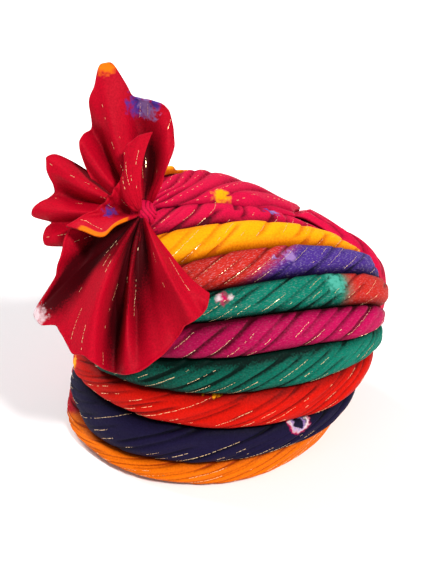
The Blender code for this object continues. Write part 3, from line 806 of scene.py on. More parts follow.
def lay_line(line, facing, begin, stop, chance, rng, thread_points):
    """Places gold dashes along a line on the cloth, with gaps where the thread dips under."""
    step = np.linalg.norm(np.diff(line, axis=0), axis=1)
    run = np.concatenate([[0.0], np.cumsum(step)])
    stop = run[-1] - 0.004 if stop is None else stop
    place = begin
    showing = True
    while place < stop:
        size = rng.uniform(0.5, 1.3)
        if rng.uniform() < 0.25:
            showing = rng.uniform() < chance
        if showing:
            centre = np.array([np.interp(place, run, line[:, k]) for k in range(3)])
            ahead = np.array([np.interp(place + 0.0012, run, line[:, k]) for k in range(3)])
            normal = np.array([np.interp(place, run, facing[:, k]) for k in range(3)])
            thread_points.append((centre + normal * DASH_STAND, ahead - centre, normal, size))
        place += 0.0018 * size + rng.uniform(0.0002, 0.0009)


def zari_along(points, normals, q, rng, thread_points, density):
    """Adds gold thread places on lines of equal q, each a broken row of short bright dashes."""
    rows, columns = q.shape
    low, high = q.min() + 0.01, q.max() - 0.01
    at = low + ZARI_SPACING * 0.4
    while at < high:
        at += ZARI_SPACING * rng.uniform(0.75, 1.3)
        crossing = []
        for c in range(2, columns - 2):
            row = int(np.searchsorted(q[:, c], at))
            if 1 < row < rows - 2:
                crossing.append((row, c))
        if len(crossing) < 6:
            continue
        line = np.array([points[r, c] for r, c in crossing])
        facing = np.array([normals[r, c] for r, c in crossing])
        step = np.linalg.norm(np.diff(line, axis=0), axis=1)
        if step.max() > 0.012:
            continue
        begin, stop = sorted(rng.uniform(0.0, 1.0, 2) * np.array([0.45, 1.0]))
        length = step.sum()
        stop = min(max(stop, begin + 0.35), 0.97)
        lay_line(line, facing, length * begin, length * stop, 0.62 * density, rng, thread_points)


def build_roll(row, index, material, thread_points):
    """One of the twisted rolls across the front."""
    name, low, high, first, last, share, slant, spacing = row
    grid = roll_grid(
        ROLL_EDGES[low], ROLL_EDGES[high], math.radians(first), math.radians(last), ROLL_STEPS,
        ROLL_SECTION_STEPS, parting=NAVY_PARTING if name == "navy_roll" else 0.0,
    )
    rng = np.random.default_rng(40 + index)
    sink = ROLL_SINKS[name]
    return finish_roll(name, grid, share, slant, spacing, rng, material, thread_points, sink=sink)


def finish_roll(name, grid, share, slant, spacing, rng, material, thread_points, closed=False,
                under=ROLL_UNDER, rise=ROLL_RISE, floor=False, density=1.0, sink=0.0):
    """Raises a roll off its grid, with swells, creases, its map and its gold threads."""
    points, normals, across, tuck = grid
    along = np.linspace(0.0, 1.0, len(points))[:, None]
    middle = points[:, points.shape[1] // 2]
    step = np.linalg.norm(np.diff(middle, axis=0), axis=1)
    run = np.concatenate([[0.0], np.cumsum(step)])
    length = run[-1] + (np.linalg.norm(middle[0] - middle[-1]) if closed else 0.0)
    width = np.linalg.norm(points[:, -1] - points[:, 0], axis=-1)
    run = run[:, None] + 0.0 * across
    creases, q = crease_field(run, across, slant, spacing, rng, length if closed else None)
    side = 2.0 * across - 1.0
    bulge = np.maximum(1.0 - np.abs(side) ** ROLL_POWER, 0.0) ** (1.0 / ROLL_POWER)
    lean = np.where(side > 0, 0.0, 0.06 * np.sin(-side * math.pi))
    turns = 2.0 * math.pi / length
    swell = 0.0
    for waves in (3, 5, 8):
        swell = swell + SWELL_HEIGHT * np.sin(turns * waves * q + rng.uniform(0.0, 6.3))
    height = rise * share * (TUCK_RISE + (1.0 - TUCK_RISE) * tuck)
    lift = under + ROLL_EDGE * (1.0 - bulge) + height * (bulge + lean)
    if not closed:
        lift = lift - rise * sink * smooth((along - 0.80) / 0.17) * bulge
    outer = points + normals * (lift + swell * bulge)[..., None]
    facing = normals_along(outer, normals, closed)
    outer = outer + facing * (creases * np.minimum(1.0, bulge * 1.6) * tuck)[..., None]
    inner = points + normals * (under * 0.9)
    if floor:
        outer[..., 2] = np.maximum(outer[..., 2], 0.0)
        inner[..., 2] = np.maximum(inner[..., 2], 0.0)
    # Painted shade: darker towards the roll's edges, in the grooves between rolls, and in the creases
    painted_shade = 0.95 * np.abs(side) ** 3.6 + np.clip(-creases / CREASE_SHADE_DEPTH, 0.0, 1.0) * 0.70
    # Painted shadow of the fan over the roll's left part
    painted_shade = painted_shade + FAN_SHADOW_PAINT.get(name, 0.0) * (1.0 - smooth((along - 0.22) / 0.50))
    uv = np.stack([q, across * width[:, None]], axis=-1)
    piece = build_layered(name + "_cloth", outer, inner, material, uv, np.clip(painted_shade, 0, 1), closed)
    zari_along(outer, facing, q, rng, thread_points, density)
    return piece, q / length


def mark_change(piece, values):
    """Stores how far each point of a piece has turned to its second dye."""
    outer = np.asarray(values, np.float32).ravel()
    flat = np.zeros(len(piece.data.vertices), np.float32)
    flat[: outer.size] = outer
    flat[outer.size : 2 * outer.size] = outer
    store_values(piece.data, "change", flat)


# Wraps


def knot_centre():
    """The knot's centre, seated on the crest of the crimson roll."""
    edge = (np.array(ROLL_EDGES["yellow"]) + np.array(ROLL_EDGES["crimson"])) / 2
    points, normals = ring_points(edge[None, :], np.array([KNOT_TURN]))
    normal = normals[0]
    sizes = (KNOT_RADIUS, KNOT_RADIUS, KNOT_HALF_DEPTH)
    half = math.sqrt(sum((size * float(normal @ axis)) ** 2 for size, axis in zip(sizes, fan_axes())))
    crest = ROLL_UNDER + ROLL_RISE * ROLLS[-1][5] + 0.0009
    return points[0] + normal * (crest + 0.0004 + half * KNOT_SEAT)


def fan_axes():
    """The fan's right, up and towards-the-viewer directions."""
    right = np.array([1.0, 0.0, 0.0])
    up = np.array([0.0, math.sin(FAN_TILT), math.cos(FAN_TILT)])
    towards = np.array([0.0, -math.cos(FAN_TILT), math.sin(FAN_TILT)])
    return right, up, towards


KNOT = knot_centre()


def fan_place(reach, turn, depth):
    """Points round the knot at a reach, a turn from the right and a depth towards the viewer."""
    right, up, towards = fan_axes()
    return (
        KNOT
        + (reach * np.cos(turn))[..., None] * right
        + (reach * np.sin(turn))[..., None] * up
        + depth[..., None] * towards
    )


def pleat_edges(rng, first, last, least, most):
    """Where pleats of drawn widths meet, from first until they pass last."""
    edges = [first]
    while edges[-1] < last:
        edges.append(edges[-1] + rng.uniform(least, most))
    return edges


def pleat_profile(phase, edges):
    """Rounded ridges with narrow valleys, 1 on a ridge and 0 in a valley, and which pleat it is."""
    edges = np.asarray(edges)
    place = np.clip(np.searchsorted(edges, phase) - 1, 0, len(edges) - 2)
    share = (phase - edges[place]) / (edges[place + 1] - edges[place])
    return np.clip(1.0 - np.abs(2.0 * np.clip(share, 0, 1) - 1.0) ** 2.6, 0.0, 1.0) ** 0.6, place


def full_turns(steps):
    """Even turns of a full circle."""
    return np.arange(steps) * 2.0 * math.pi / steps


def side_grid(share, turn):
    """Points of the crown's surface and its normals there."""
    return side_point(share, turn), slope_normals(share, turn)


def build_top_wrap(material, thread_points):
    """The crimson cloth that runs in soft pleats from the knot over the dome."""
    rng = np.random.default_rng(7)
    climb = np.linspace(0.0, 1.0, TOP_WRAP_STEPS[1]) ** 0.9 * 0.985
    turn, climb = np.meshgrid(full_turns(TOP_WRAP_STEPS[0]), climb, indexing="ij")
    low = hem_share(turn) + 0.0012
    share = low + (0.9992 - low) * np.sin(climb * math.pi / 2)
    points, normals = side_grid(share, turn)
    from_knot = points[..., :2] - (KNOT[:2] + np.array([-0.010, 0.006]))
    reach = np.linalg.norm(from_knot, axis=-1)
    bearing = np.arctan2(from_knot[..., 1], from_knot[..., 0])
    bearing = (bearing + math.radians(120.0)) % (2.0 * math.pi)
    edges = pleat_edges(rng, 0.0, 2.0 * math.pi, 0.085, 0.20)
    edges[-1] = 2.0 * math.pi
    twist = 0.10 * np.sin(reach * 38.0)
    ridge, which = pleat_profile((bearing + twist) % (2.0 * math.pi), edges)
    strength = smooth(reach / 0.030) * (0.25 + 0.75 * np.exp(-((reach / 0.15) ** 2)))
    hem = smooth(climb / 0.04)
    centre = np.stack([girth(points[..., 2])[0], 0.0 * turn], axis=-1)
    beside = np.abs(half_turn(turn - FAR_ROLL_TURN)) * np.linalg.norm(points[..., :2] - centre, axis=-1)
    covered = smooth((share - FAR_ROLL_SHARES[1] + 0.03) / 0.02) * smooth(1.6 - beside / 0.010)
    strength = strength * (1.0 - covered)
    lift = WRAP_UNDER + WRAP_RISE - 0.0012 + 0.0030 * ridge * strength * hem
    swell = 0.0007 * np.sin(reach * 120.0 + which * 1.7) * hem * (1.0 - covered)
    rise = 0.0085 * np.exp(-((reach / 0.020) ** 2))
    plump = PLUMP_RISE * np.exp(-(((reach - PLUMP_REACH) / PLUMP_WIDTH) ** 2))
    plump = plump * smooth((np.cos(turn - PLUMP_TURN) - 0.35) / 0.40) * smooth(climb / 0.30)
    from_dip = ((points[..., :2] - np.array(DIP_PLACE)) / np.array(DIP_WIDTHS)) ** 2
    dip = WRAP_DIP * np.exp(-from_dip[..., 0] - from_dip[..., 1])
    lift = np.maximum(lift + swell + rise + plump - dip, WRAP_UNDER)
    outer = points + normals * lift[..., None]
    inner = points + normals * (WRAP_UNDER * 0.7)
    # Painted shade in the pleats' valleys
    painted_shade = np.clip((1.0 - ridge) * 0.9 * strength, 0.0, 0.9)
    uv = np.stack([reach, bearing * 0.08], axis=-1)
    tip = side_point(1.0, 0.0)
    up = np.array([0.0, 0.0, 1.0])
    pole = [outer[:, -1].mean(axis=0), tip + up * WRAP_UNDER * 0.7]
    piece = build_layered("top_wrap_cloth", outer, inner, material, uv, painted_shade, True, pole)
    facing = normals_along(outer, normals, True)
    for number, start in enumerate(edges[:-1]):
        if number % 2 and rng.uniform() < 0.4:
            continue
        heading = (start + edges[number + 1]) / 2 + rng.normal(0.0, 0.015)
        away = np.abs(((bearing + twist) % (2.0 * math.pi)) - heading)
        distance = 0.018
        while distance < 0.19:
            size = rng.uniform(0.6, 1.3)
            distance += 0.0020 * size + rng.uniform(0.0004, 0.0050)
            if rng.uniform() < 0.35:
                continue
            cost = away * reach + np.abs(reach - distance)
            r, c = np.unravel_index(np.argmin(cost), cost.shape)
            if cost[r, c] > 0.002 or not 1 < c < cost.shape[1] - 3:
                continue
            direction = outer[r, c] - KNOT
            normal = facing[r, c]
            direction = direction - normal * (direction @ normal)
            thread_points.append((outer[r, c] + normal * DASH_STAND, direction, normal, size))
    return piece


def build_back_wrap(material):
    """The crimson cloth round the back, in slanting pleats from the rim roll to the top wrap."""
    rng = np.random.default_rng(11)
    along = np.linspace(0.0, 1.0, BACK_WRAP_STEPS[0])
    climb = np.linspace(0.0, 1.0, BACK_WRAP_STEPS[1])
    along, climb = np.meshgrid(along, climb, indexing="ij")
    lap = smooth((climb - 0.30) / 0.12) * smooth((0.99 - climb) / 0.18)
    seam = RIGHT_SEAM_TURN + RIGHT_SEAM_LEAN * climb**2
    right = seam - RIGHT_LAP * lap
    left = 2.0 * math.pi + LEFT_SEAM_TURN + LEFT_LAP * smooth((climb - 0.42) / 0.12)
    turn = right + (left - right) * along
    low = edge_share(ROLL_EDGES["rim"], turn) + 0.0022
    high = hem_share(turn) + 0.0060
    share = low + (high - low) * climb
    points, normals = side_grid(share, turn)
    phase = along * 0.30 - climb * 0.085 + 0.005 * np.sin(climb * 5.0 + along * 4.0)
    ridge, which = pleat_profile(phase, pleat_edges(rng, -0.12, 0.42, 0.011, 0.024))
    rise = WRAP_FOOT_RISE + (WRAP_RISE - WRAP_FOOT_RISE) * smooth(climb * 1.15 - 0.1)
    rim = smooth(np.minimum(climb, 1.0 - climb) / 0.05) * smooth(np.minimum(along, 1.0 - along) / 0.02)
    lift = WRAP_UNDER + rise - 0.0008 + (0.0019 * ridge + 0.0004 * np.sin(which * 2.1 + climb * 7.0)) * rim
    lift = lift - 0.0012 * (1.0 - rim)
    lapped = smooth((seam + 0.04 - turn) / 0.07) * lap
    lift = lift + lapped * LAP_RISE - LAP_PRESS * (1.0 - smooth(along / 0.045)) * lap
    tucked = smooth((climb - 0.955) / 0.035)
    lift = lift + (0.0020 - lift) * tucked
    outer = points + normals * lift[..., None]
    under = WRAP_UNDER * 0.7 + (lift - 0.0012 - WRAP_UNDER * 0.7) * lapped
    inner = points + normals * (under + (0.0010 - under) * tucked)[..., None]
    # Painted shade in the pleats' valleys
    painted_shade = np.clip((1.0 - ridge) * 0.7, 0.0, 0.8) * rim
    uv = np.stack([climb * 0.12, phase], axis=-1)
    return build_layered("back_wrap_cloth", outer, inner, material, uv, painted_shade)


def build_crown(material):
    """The cloth bowl that the turban is tied over, open below."""
    rise = np.sin(np.linspace(0.0, 1.0, CROWN_STEPS[1]) * math.pi / 2)[:-1]
    turn, share = np.meshgrid(full_turns(CROWN_STEPS[0]), rise, indexing="ij")
    points, normals = side_grid(share, turn)
    normals[:, 0, 2] = 0.0
    normals[:, 0] /= np.linalg.norm(normals[:, 0], axis=-1, keepdims=True)
    wave = 0.00035 * np.sin(turn * 26.0 + share * 9.0) * smooth(share / 0.1)
    inner = points - normals * (CROWN_WALL + wave)[..., None]
    inner[:, 0, 2] = 0.0
    apex = side_point(1.0, 0.0)
    pole = [apex, apex - np.array([0.0, 0.0, CROWN_WALL])]
    uv = np.stack([share * CROWN_HEIGHT, turn * 0.1], axis=-1)
    # Darkened evenly 0.35 of the way to its shade colour
    painted_shade = 0.35 + 0.0 * turn
    return build_layered("crown_cloth", points, inner, material, uv, painted_shade, True, pole)


def build_rim_roll(material, thread_points):
    """The marigold roll that closes round the rim and rests on the floor."""
    low, high = ROLL_EDGES["ground"], ROLL_EDGES["rim"]
    grid = roll_grid(low, high, -math.pi, math.pi, RIM_STEPS, RIM_SECTION_STEPS, closed=True)
    return finish_roll(
        "rim_roll", grid, 0.9, 0.052, 0.012, np.random.default_rng(61), material, thread_points,
        closed=True, under=0.0007, floor=True, density=0.55,
    )


def build_far_roll(material, thread_points):
    """The yellow roll that runs from behind the knot over the back of the dome."""
    along = np.linspace(0.0, 1.0, FAR_ROLL_STEPS[0])
    across = (1.0 - np.cos(np.linspace(0.0, 1.0, FAR_ROLL_STEPS[1]) * math.pi)) / 2
    along, across = np.meshgrid(along, across, indexing="ij")
    first, last = FAR_ROLL_SHARES
    share = first + (last - first) * along**2
    _, half_width, _ = girth(share * CROWN_HEIGHT)
    turn = FAR_ROLL_TURN + (across - 0.5) * 2.0 * FAR_ROLL_HALF_WIDTH / half_width
    tuck = np.sin(np.clip(np.minimum(along, 1.0 - along) * 5.0, 0.0, 1.0) * math.pi / 2)
    points, normals = side_grid(share, turn)
    return finish_roll(
        "far_yellow_roll", (points, normals, across, tuck), 1.0, 0.018, 0.014, np.random.default_rng(73),
        material, thread_points, under=WRAP_UNDER + WRAP_RISE + 0.0006,
        rise=FAR_ROLL_RISE * (1.0 - 0.8 * smooth(along / 0.7)),
    )


# Knot and fan


def build_knot(material):
    """The bulb, bound over by a gathered band that slants across it."""
    rng = np.random.default_rng(19)
    _, _, towards = fan_axes()
    rings = np.sin(np.linspace(-0.5, 0.5, KNOT_STEPS[1])[1:-1] * math.pi)
    turn, ring = np.meshgrid(full_turns(KNOT_STEPS[0]), rings, indexing="ij")
    plain = KNOT_RADIUS * np.sqrt(1.0 - ring**2)
    wave = 0.0012 * np.sin(plain * np.sin(turn) * 420.0)
    band = plain * np.cos(turn) + 0.45 * plain * np.sin(turn) + wave
    ridge, _ = pleat_profile(band, pleat_edges(rng, -0.030, 0.030, 0.0020, 0.0042))
    radius = plain * (1.0 - 0.16 * (1.0 - ridge))
    points = fan_place(radius, turn, np.where(ring > 0.0, KNOT_FRONT, KNOT_HALF_DEPTH) * ring)
    rows, columns = points.shape[:2]
    faces = grid_faces(rows, columns, True).tolist()
    ends = np.array([KNOT - towards * KNOT_HALF_DEPTH, KNOT + towards * KNOT_FRONT])
    vertices = np.concatenate([points.reshape(-1, 3), ends])
    for tip, edge in ((rows * columns, 0), (rows * columns + 1, columns - 1)):
        a, b = column_pairs(rows, columns, edge, True)
        faces += np.stack([a, b, np.full(rows, tip)], axis=-1).tolist()
    uv = np.stack([ring * KNOT_HALF_DEPTH, turn * KNOT_RADIUS], axis=-1).reshape(-1, 2)
    # Painted shade in the band's valleys
    painted_shade = np.clip((1.0 - ridge) * 0.9, 0.0, 0.9).ravel()
    piece = make_piece(
        "knot_cloth", vertices, faces, material,
        np.concatenate([uv, np.zeros((2, 2))]), np.concatenate([painted_shade, [0.5, 0.5]]),
    )
    face_outwards(piece)
    return piece


def fold_curve(line, folds, column, ease):
    """A fold table's column at each hem angle, evened out over an angle in degrees."""
    known = np.array([fold[0] for fold in folds], float)
    values = np.array([fold[column] for fold in folds], float)
    order = np.argsort(known)
    plain = np.interp(line, known[order], values[order])
    step = abs(line[1] - line[0])
    span = int(3.0 * ease / step) + 1
    weights = np.exp(-0.5 * (np.arange(-span, span + 1) * step / ease) ** 2)
    padded = np.pad(plain, span, mode="reflect", reflect_type="odd")
    return np.convolve(padded, weights / weights.sum(), mode="valid")[:, None]


def blur_grid(values, times):
    """A grid of values evened out with its neighbours."""
    for _ in range(times):
        padded = np.pad(values, 1, mode="edge")
        beside = padded[:-2, 1:-1] + padded[2:, 1:-1] + padded[1:-1, :-2] + padded[1:-1, 2:]
        values = (beside + 2.0 * values) / 6.0
    return values


def make_crown_tree():
    """Places on the crown's surface for nearest-place searches, and their normals."""
    rise = np.sin(np.linspace(0.0, 0.995, 130) * math.pi / 2)
    share, turn = np.meshgrid(rise, np.linspace(-math.pi, math.pi, 361)[:-1], indexing="ij")
    places = side_point(share, turn).reshape(-1, 3)
    tree = KDTree(len(places))
    for number, place in enumerate(places):
        tree.insert(place, number)
    tree.balance()
    return tree, places, slope_normals(share, turn).reshape(-1, 3)


def stand_clear(points, towards):
    """Moves a fan sheet towards the viewer where it would come nearer the crown than the rolls rise."""
    tree, places, normals = make_crown_tree()
    moved = np.zeros(points.shape[:2])
    for _ in range(4):
        now = points + moved[..., None] * towards
        nearest = np.array([tree.find(Vector(place))[1] for place in now.reshape(-1, 3)])
        normal = normals[nearest].reshape(points.shape)
        away = ((now - places[nearest].reshape(points.shape)) * normal).sum(axis=-1)
        facing = np.clip(normal @ towards, 0.5, 1.0)
        moved += np.maximum(FAN_CLEAR - away, 0.0) / facing
    even = blur_grid(moved, 40)
    return points + np.maximum(moved, even)[..., None] * towards


def lip_share(hem_angle):
    """1 along the petal's front lip and 0 away from it."""
    return smooth((hem_angle - 180.0) / 9.0)


def facing_viewer(points, towards):
    """A fan sheet's normals, on the viewer's side."""
    facing = grid_normals(points)
    return facing * np.sign((facing @ towards).mean())


def build_fan_sheet(row, spots, thread_points):
    """One gathered sheet that spreads from the knot to its rolled hem."""
    node, folds, layer, root, root_depth, steps, rings, seed = row
    rng = np.random.default_rng(seed)
    _, _, towards = fan_axes()
    petal = node == "inner_petal"
    line = np.linspace(folds[0][0], folds[-1][0], steps + 1)
    out = np.concatenate([np.linspace(0.0, 0.965, rings - 9), np.linspace(0.972, 1.0, 10)])
    hem_angle, out = np.meshgrid(line, out, indexing="ij")
    root_angle = fold_curve(line, folds, 1, 2.0)
    spread = root_angle + (hem_angle - root_angle) * out**0.8
    hem = FAN_REACH * fold_curve(line, folds, 2, HEM_EASE)
    reach = root + (hem - root) * out
    stand = fold_curve(line, folds, 5, 2.0)
    fold = fold_curve(line, folds, 3, FOLD_EASE) * np.sin(math.pi * out)
    fold = fold + fold_curve(line, folds, 4, FOLD_EASE) * out**1.6
    depth = KNOT_HALF_DEPTH * layer + FAN_STAND * stand * np.sin(out * math.pi / 2) + FAN_FOLD * fold
    depth = depth + (root_depth - KNOT_HALF_DEPTH * layer) * np.exp(-out / 0.07)
    if petal:
        dip = np.exp(-(((out - LIP_MIDDLE) / LIP_WIDTH) ** 2)) * lip_share(hem_angle)
        spread = spread + LIP_DROP * dip
        depth = depth + LIP_STAND * dip
    points = stand_clear(fan_place(reach, np.radians(spread), depth), towards)

    # Soft gathers, tight at the knot and nearly gone at the hem
    first, last = sorted((folds[0][0], folds[-1][0]))
    edges = pleat_edges(rng, first - 2.0, last + 2.0, 2.4, 8.5)
    wander = 1.6 * np.sin(out * 5.0 + rng.uniform(0.0, 6.0)) * out
    ridge, which = pleat_profile(hem_angle + wander, edges)
    tall = rng.uniform(0.35, 1.3, len(edges))[which]
    fade = smooth(out / 0.08) * (1.0 - 0.95 * smooth((out - 0.10) / 0.42))
    facing = facing_viewer(points, towards)
    soft = 0.0
    for waves, size in ((0.11, 0.0007), (0.23, 0.0004)):
        soft = soft + size * np.sin(hem_angle * waves + out * rng.uniform(3.0, 9.0) + rng.uniform(0.0, 6.0))
    ruffle = 0.0009 * np.sin(hem_angle * 0.42 + rng.uniform(0.0, 6.0)) * smooth((out - 0.78) / 0.22)
    lift = 0.0008 * tall * fade * (ridge - 0.5) + soft * smooth(out / 0.2) + ruffle
    points = points + facing * lift[..., None]
    facing = facing_viewer(points, towards)
    from_hem = (hem - root) * (1.0 - out)
    half = FAN_WALL / 2 + 0.00040 * np.exp(-(((from_hem - 0.0010) / 0.0008) ** 2))
    if petal:
        strides = np.linalg.norm(np.diff(points, axis=0), axis=-1)
        from_lip = np.concatenate([np.zeros((1, out.shape[1])), np.cumsum(strides, axis=0)])
        half = half + 0.00045 * np.exp(-(((from_lip - 0.0012) / 0.0009) ** 2)) * smooth(out / 0.2)
    half = np.where(from_hem < 0.0003, half * 0.55, half)
    outer = points + facing * half[..., None]
    inner = points - facing * half[..., None]
    # Painted shade: in the gathers' valleys, where folds fall back, and near the knot
    painted_shade = 0.12 + (1.0 - ridge) * 0.40 * fade - np.minimum(fold, 0.25) * 1.1 + 0.30 * np.exp(-out / 0.08)
    for deeper, angle, width, end, soften in FAN_SHADES.get(node, ()):
        painted_shade = painted_shade + deeper * np.exp(-(((spread - angle) / width) ** 2)) * smooth((end - out) / soften)
    if node == "lower_fan":
        # Painted shadow under the petal's lip, at the lower fan's left
        painted_shade = painted_shade + 0.35 * smooth((-124.0 - spread) / 12.0) * smooth((0.85 - out) / 0.40)
    painted_shade = np.clip(painted_shade, 0.0, 1.0)
    uv = np.stack([reach, np.radians(hem_angle) * 0.07], axis=-1)

    marks = []
    for dye, angle, share, radius, core, ragged in spots:
        place = np.argmin((hem_angle - angle) ** 2 + ((out - share) * 60.0) ** 2)
        marks.append((dye, outer.reshape(-1, 3)[place], radius, core, ragged))
    material = make_cloth(node, "crimson", marks, "marigold" if petal else None, crinkle=0.8)
    piece = build_layered(node + "_cloth", outer, inner, material, uv, painted_shade)
    if petal:
        lip = smooth((0.0048 - from_lip) / 0.0014)
        mark_change(piece, lip * smooth((out - 0.16) / 0.05) * smooth((0.86 - out) / 0.05))
    for number in range(len(edges) - 1):
        if rng.uniform() < 0.40:
            continue
        heading = (edges[number] + edges[number + 1]) / 2
        if not first + 0.5 < heading < last - 0.5:
            continue
        rows = np.argmin(np.abs(hem_angle + wander - heading), axis=0)
        laid = outer[rows, np.arange(outer.shape[1])]
        look = facing[rows, np.arange(outer.shape[1])]
        lay_line(laid, look, 0.014 + rng.uniform(0.0, 0.034), None, 0.34, rng, thread_points)
    return piece


# Gold threads


def make_thread_tree(material):
    """Geometry Nodes: one flat gold dash on every point, laid along its heading."""
    tree, start, end = start_group(
        "zari_dashes",
        "GeometryNodeTree",
        (
            ("Geometry", "NodeSocketGeometry", None),
            ("Dash Length", "NodeSocketFloat", DASH_LENGTH),
            ("Dash Width", "NodeSocketFloat", ROLL_DASH_WIDTH),
        ),
        (("Geometry", "NodeSocketGeometry"),),
    )

    def named(name, kind):
        node = tree.nodes.new("GeometryNodeInputNamedAttribute")
        node.data_type = kind
        node.inputs["Name"].default_value = name
        return node.outputs["Attribute"]

    sizes = tree.nodes.new("ShaderNodeCombineXYZ")
    link(tree, start.outputs["Dash Length"], sizes.inputs["X"])
    link(tree, start.outputs["Dash Width"], sizes.inputs["Y"])
    sizes.inputs["Z"].default_value = DASH_THICKNESS
    dash = tree.nodes.new("GeometryNodeMeshCube")
    link(tree, sizes.outputs[0], dash.inputs["Size"])
    lie = tree.nodes.new("FunctionNodeAlignRotationToVector")
    lie.axis = "X"
    link(tree, named("heading", "FLOAT_VECTOR"), lie.inputs["Vector"])
    face = tree.nodes.new("FunctionNodeAlignRotationToVector")
    face.axis = "Z"
    face.pivot_axis = "X"
    link(tree, lie.outputs["Rotation"], face.inputs["Rotation"])
    link(tree, named("facing", "FLOAT_VECTOR"), face.inputs["Vector"])
    put = tree.nodes.new("GeometryNodeInstanceOnPoints")
    link(tree, start.outputs["Geometry"], put.inputs["Points"])
    link(tree, dash.outputs["Mesh"], put.inputs["Instance"])
    link(tree, face.outputs["Rotation"], put.inputs["Rotation"])
    link(tree, named("size", "FLOAT"), put.inputs["Scale"])
    real = tree.nodes.new("GeometryNodeRealizeInstances")
    link(tree, put.outputs["Instances"], real.inputs["Geometry"])
    paint = tree.nodes.new("GeometryNodeSetMaterial")
    paint.inputs["Material"].default_value = material
    link(tree, real.outputs["Geometry"], paint.inputs["Geometry"])
    link(tree, paint.outputs["Geometry"], end.inputs["Geometry"])
    return tree


def lay_threads(name, thread_points, tree, width):
    """Turns a piece's thread places into one mesh of dashes."""
    mesh = bpy.data.meshes.new(name + "_points")
    mesh.from_pydata([tuple(row[0] + ORIGIN) for row in thread_points], [], [])
    vectors = (("heading", "FLOAT_VECTOR"), ("facing", "FLOAT_VECTOR"), ("size", "FLOAT"))
    for column, (title, kind) in enumerate(vectors, 1):
        store_values(mesh, title, [row[column] for row in thread_points], kind)
    places = add_object(name + "_points", mesh)
    made = places.modifiers.new("dashes", "NODES")
    made.node_group = tree
    names = {item.name: item.identifier for item in tree.interface.items_tree if item.in_out == "INPUT"}
    made[names["Dash Length"]] = DASH_LENGTH
    made[names["Dash Width"]] = width
    bpy.context.view_layer.update()
    graph = bpy.context.evaluated_depsgraph_get()
    threads = bpy.data.meshes.new_from_object(places.evaluated_get(graph))
    threads.name = name + "_zari"
    bpy.data.objects.remove(places, do_unlink=True)
    return add_object(name + "_zari", threads)


# Tie-dyed marks on each piece: dye, place from the crown's centre line, radius, inner radius,
# raggedness; later marks lie over earlier ones
MARKS = {
    "navy_roll": (
        ("magenta", (0.0800, -0.0945, 0.0487), 0.0106, 0.0085, 0.18),
        ("white", (0.0805, -0.0945, 0.0492), 0.0094, 0.0068, 0.22),
        ("lilac", (0.0790, -0.0945, 0.0470), 0.0064, 0.0052, 0.30),
        ("white", (0.0815, -0.0950, 0.0520), 0.0034, 0.0012, 0.30),
    ),
    "upper_green_roll": (
        ("magenta", (0.0226, -0.0958, 0.1576), 0.0060, 0.0, 0.40),
        ("white", (0.0195, -0.0958, 0.1582), 0.0036, 0.0, 0.40),
        ("white", (0.0280, -0.0955, 0.1582), 0.0028, 0.0, 0.40),
        ("mint", (0.1060, -0.0615, 0.1500), 0.0110, 0.0, 0.50),
    ),
    "violet_roll": (
        ("lilac", (0.0715, -0.0584, 0.1710), 0.0068, 0.0, 0.60),
        ("lilac", (0.0600, -0.0640, 0.1690), 0.0050, 0.0, 0.80),
        ("white", (0.1325, -0.0171, 0.1452), 0.0022, 0.0, 0.50),
    ),
    "crimson_roll": (
        ("violet", (0.0589, -0.0047, 0.1803), 0.0068, 0.0, 0.70),
        ("lilac", (0.0610, -0.0047, 0.1803), 0.0048, 0.0, 0.70),
    ),
    "top_wrap": (
        ("golden", (0.0222, -0.0081, 0.1963), 0.0088, 0.0, 0.35),
        ("crimson", (0.0225, -0.0081, 0.1966), 0.0020, 0.0, 0.60),
    ),
    "vermilion_roll": (
        ("golden", (-0.0959, -0.0304, 0.0588), 0.0075, 0.0, 0.25),
        ("golden", (0.0169, -0.1053, 0.0835), 0.0048, 0.0, 0.60),
        ("golden", (0.0080, -0.1053, 0.0840), 0.0030, 0.0, 0.60),
    ),
}


# The pieces

ZARI = make_zari()
THREAD_TREE = make_thread_tree(ZARI)
ROLL_DYES = {
    "navy_roll": "navy",
    "vermilion_roll": "vermilion",
    "lower_green_roll": "emerald",
    "magenta_roll": "magenta",
    "upper_green_roll": "emerald",
    "violet_roll": "violet",
    "yellow_roll": "golden",
    "crimson_roll": "crimson_painted_sheen",
}
# How much painted glint shows on a dye
GLINT_AMOUNTS = {"violet_roll": 0.22, "upper_green_roll": 0.12, "lower_green_roll": 0.05, "magenta_roll": 0.05}
# Second dye of a roll, whether it turns along the twist, and how far it has turned at each share
CHANGES = {
    "upper_green_roll": ("coral", False, lambda share: smooth((share - 0.735) / 0.045)),
    "violet_roll": ("coral", True, lambda share: 1.0 - smooth((share - 0.60) / 0.09)),
    "vermilion_roll": ("crimson", False, lambda share: 0.8 * smooth((share - 0.84) / 0.09)),
}

pieces = {}
threads = {}


def add_piece(node, piece, thread_points=(), thread_width=ROLL_DASH_WIDTH):
    """Keeps a piece and lays its gold threads."""
    pieces[node] = piece
    if thread_points:
        threads[node] = lay_threads(node, thread_points, THREAD_TREE, thread_width)


for number, row in enumerate(ROLLS):
    node = row[0]
    change = CHANGES.get(node)
    second = change[0] if change else None
    dye = make_cloth(node, ROLL_DYES[node], MARKS.get(node, ()), second, glint_amount=GLINT_AMOUNTS.get(node, 0.0))
    places = []
    piece, twist_share = build_roll(row, number, dye, places)
    if change:
        level_share = np.linspace(0.0, 1.0, len(twist_share))[:, None] + 0.0 * twist_share
        mark_change(piece, change[2](twist_share if change[1] else level_share))
    add_piece(node, piece, places)

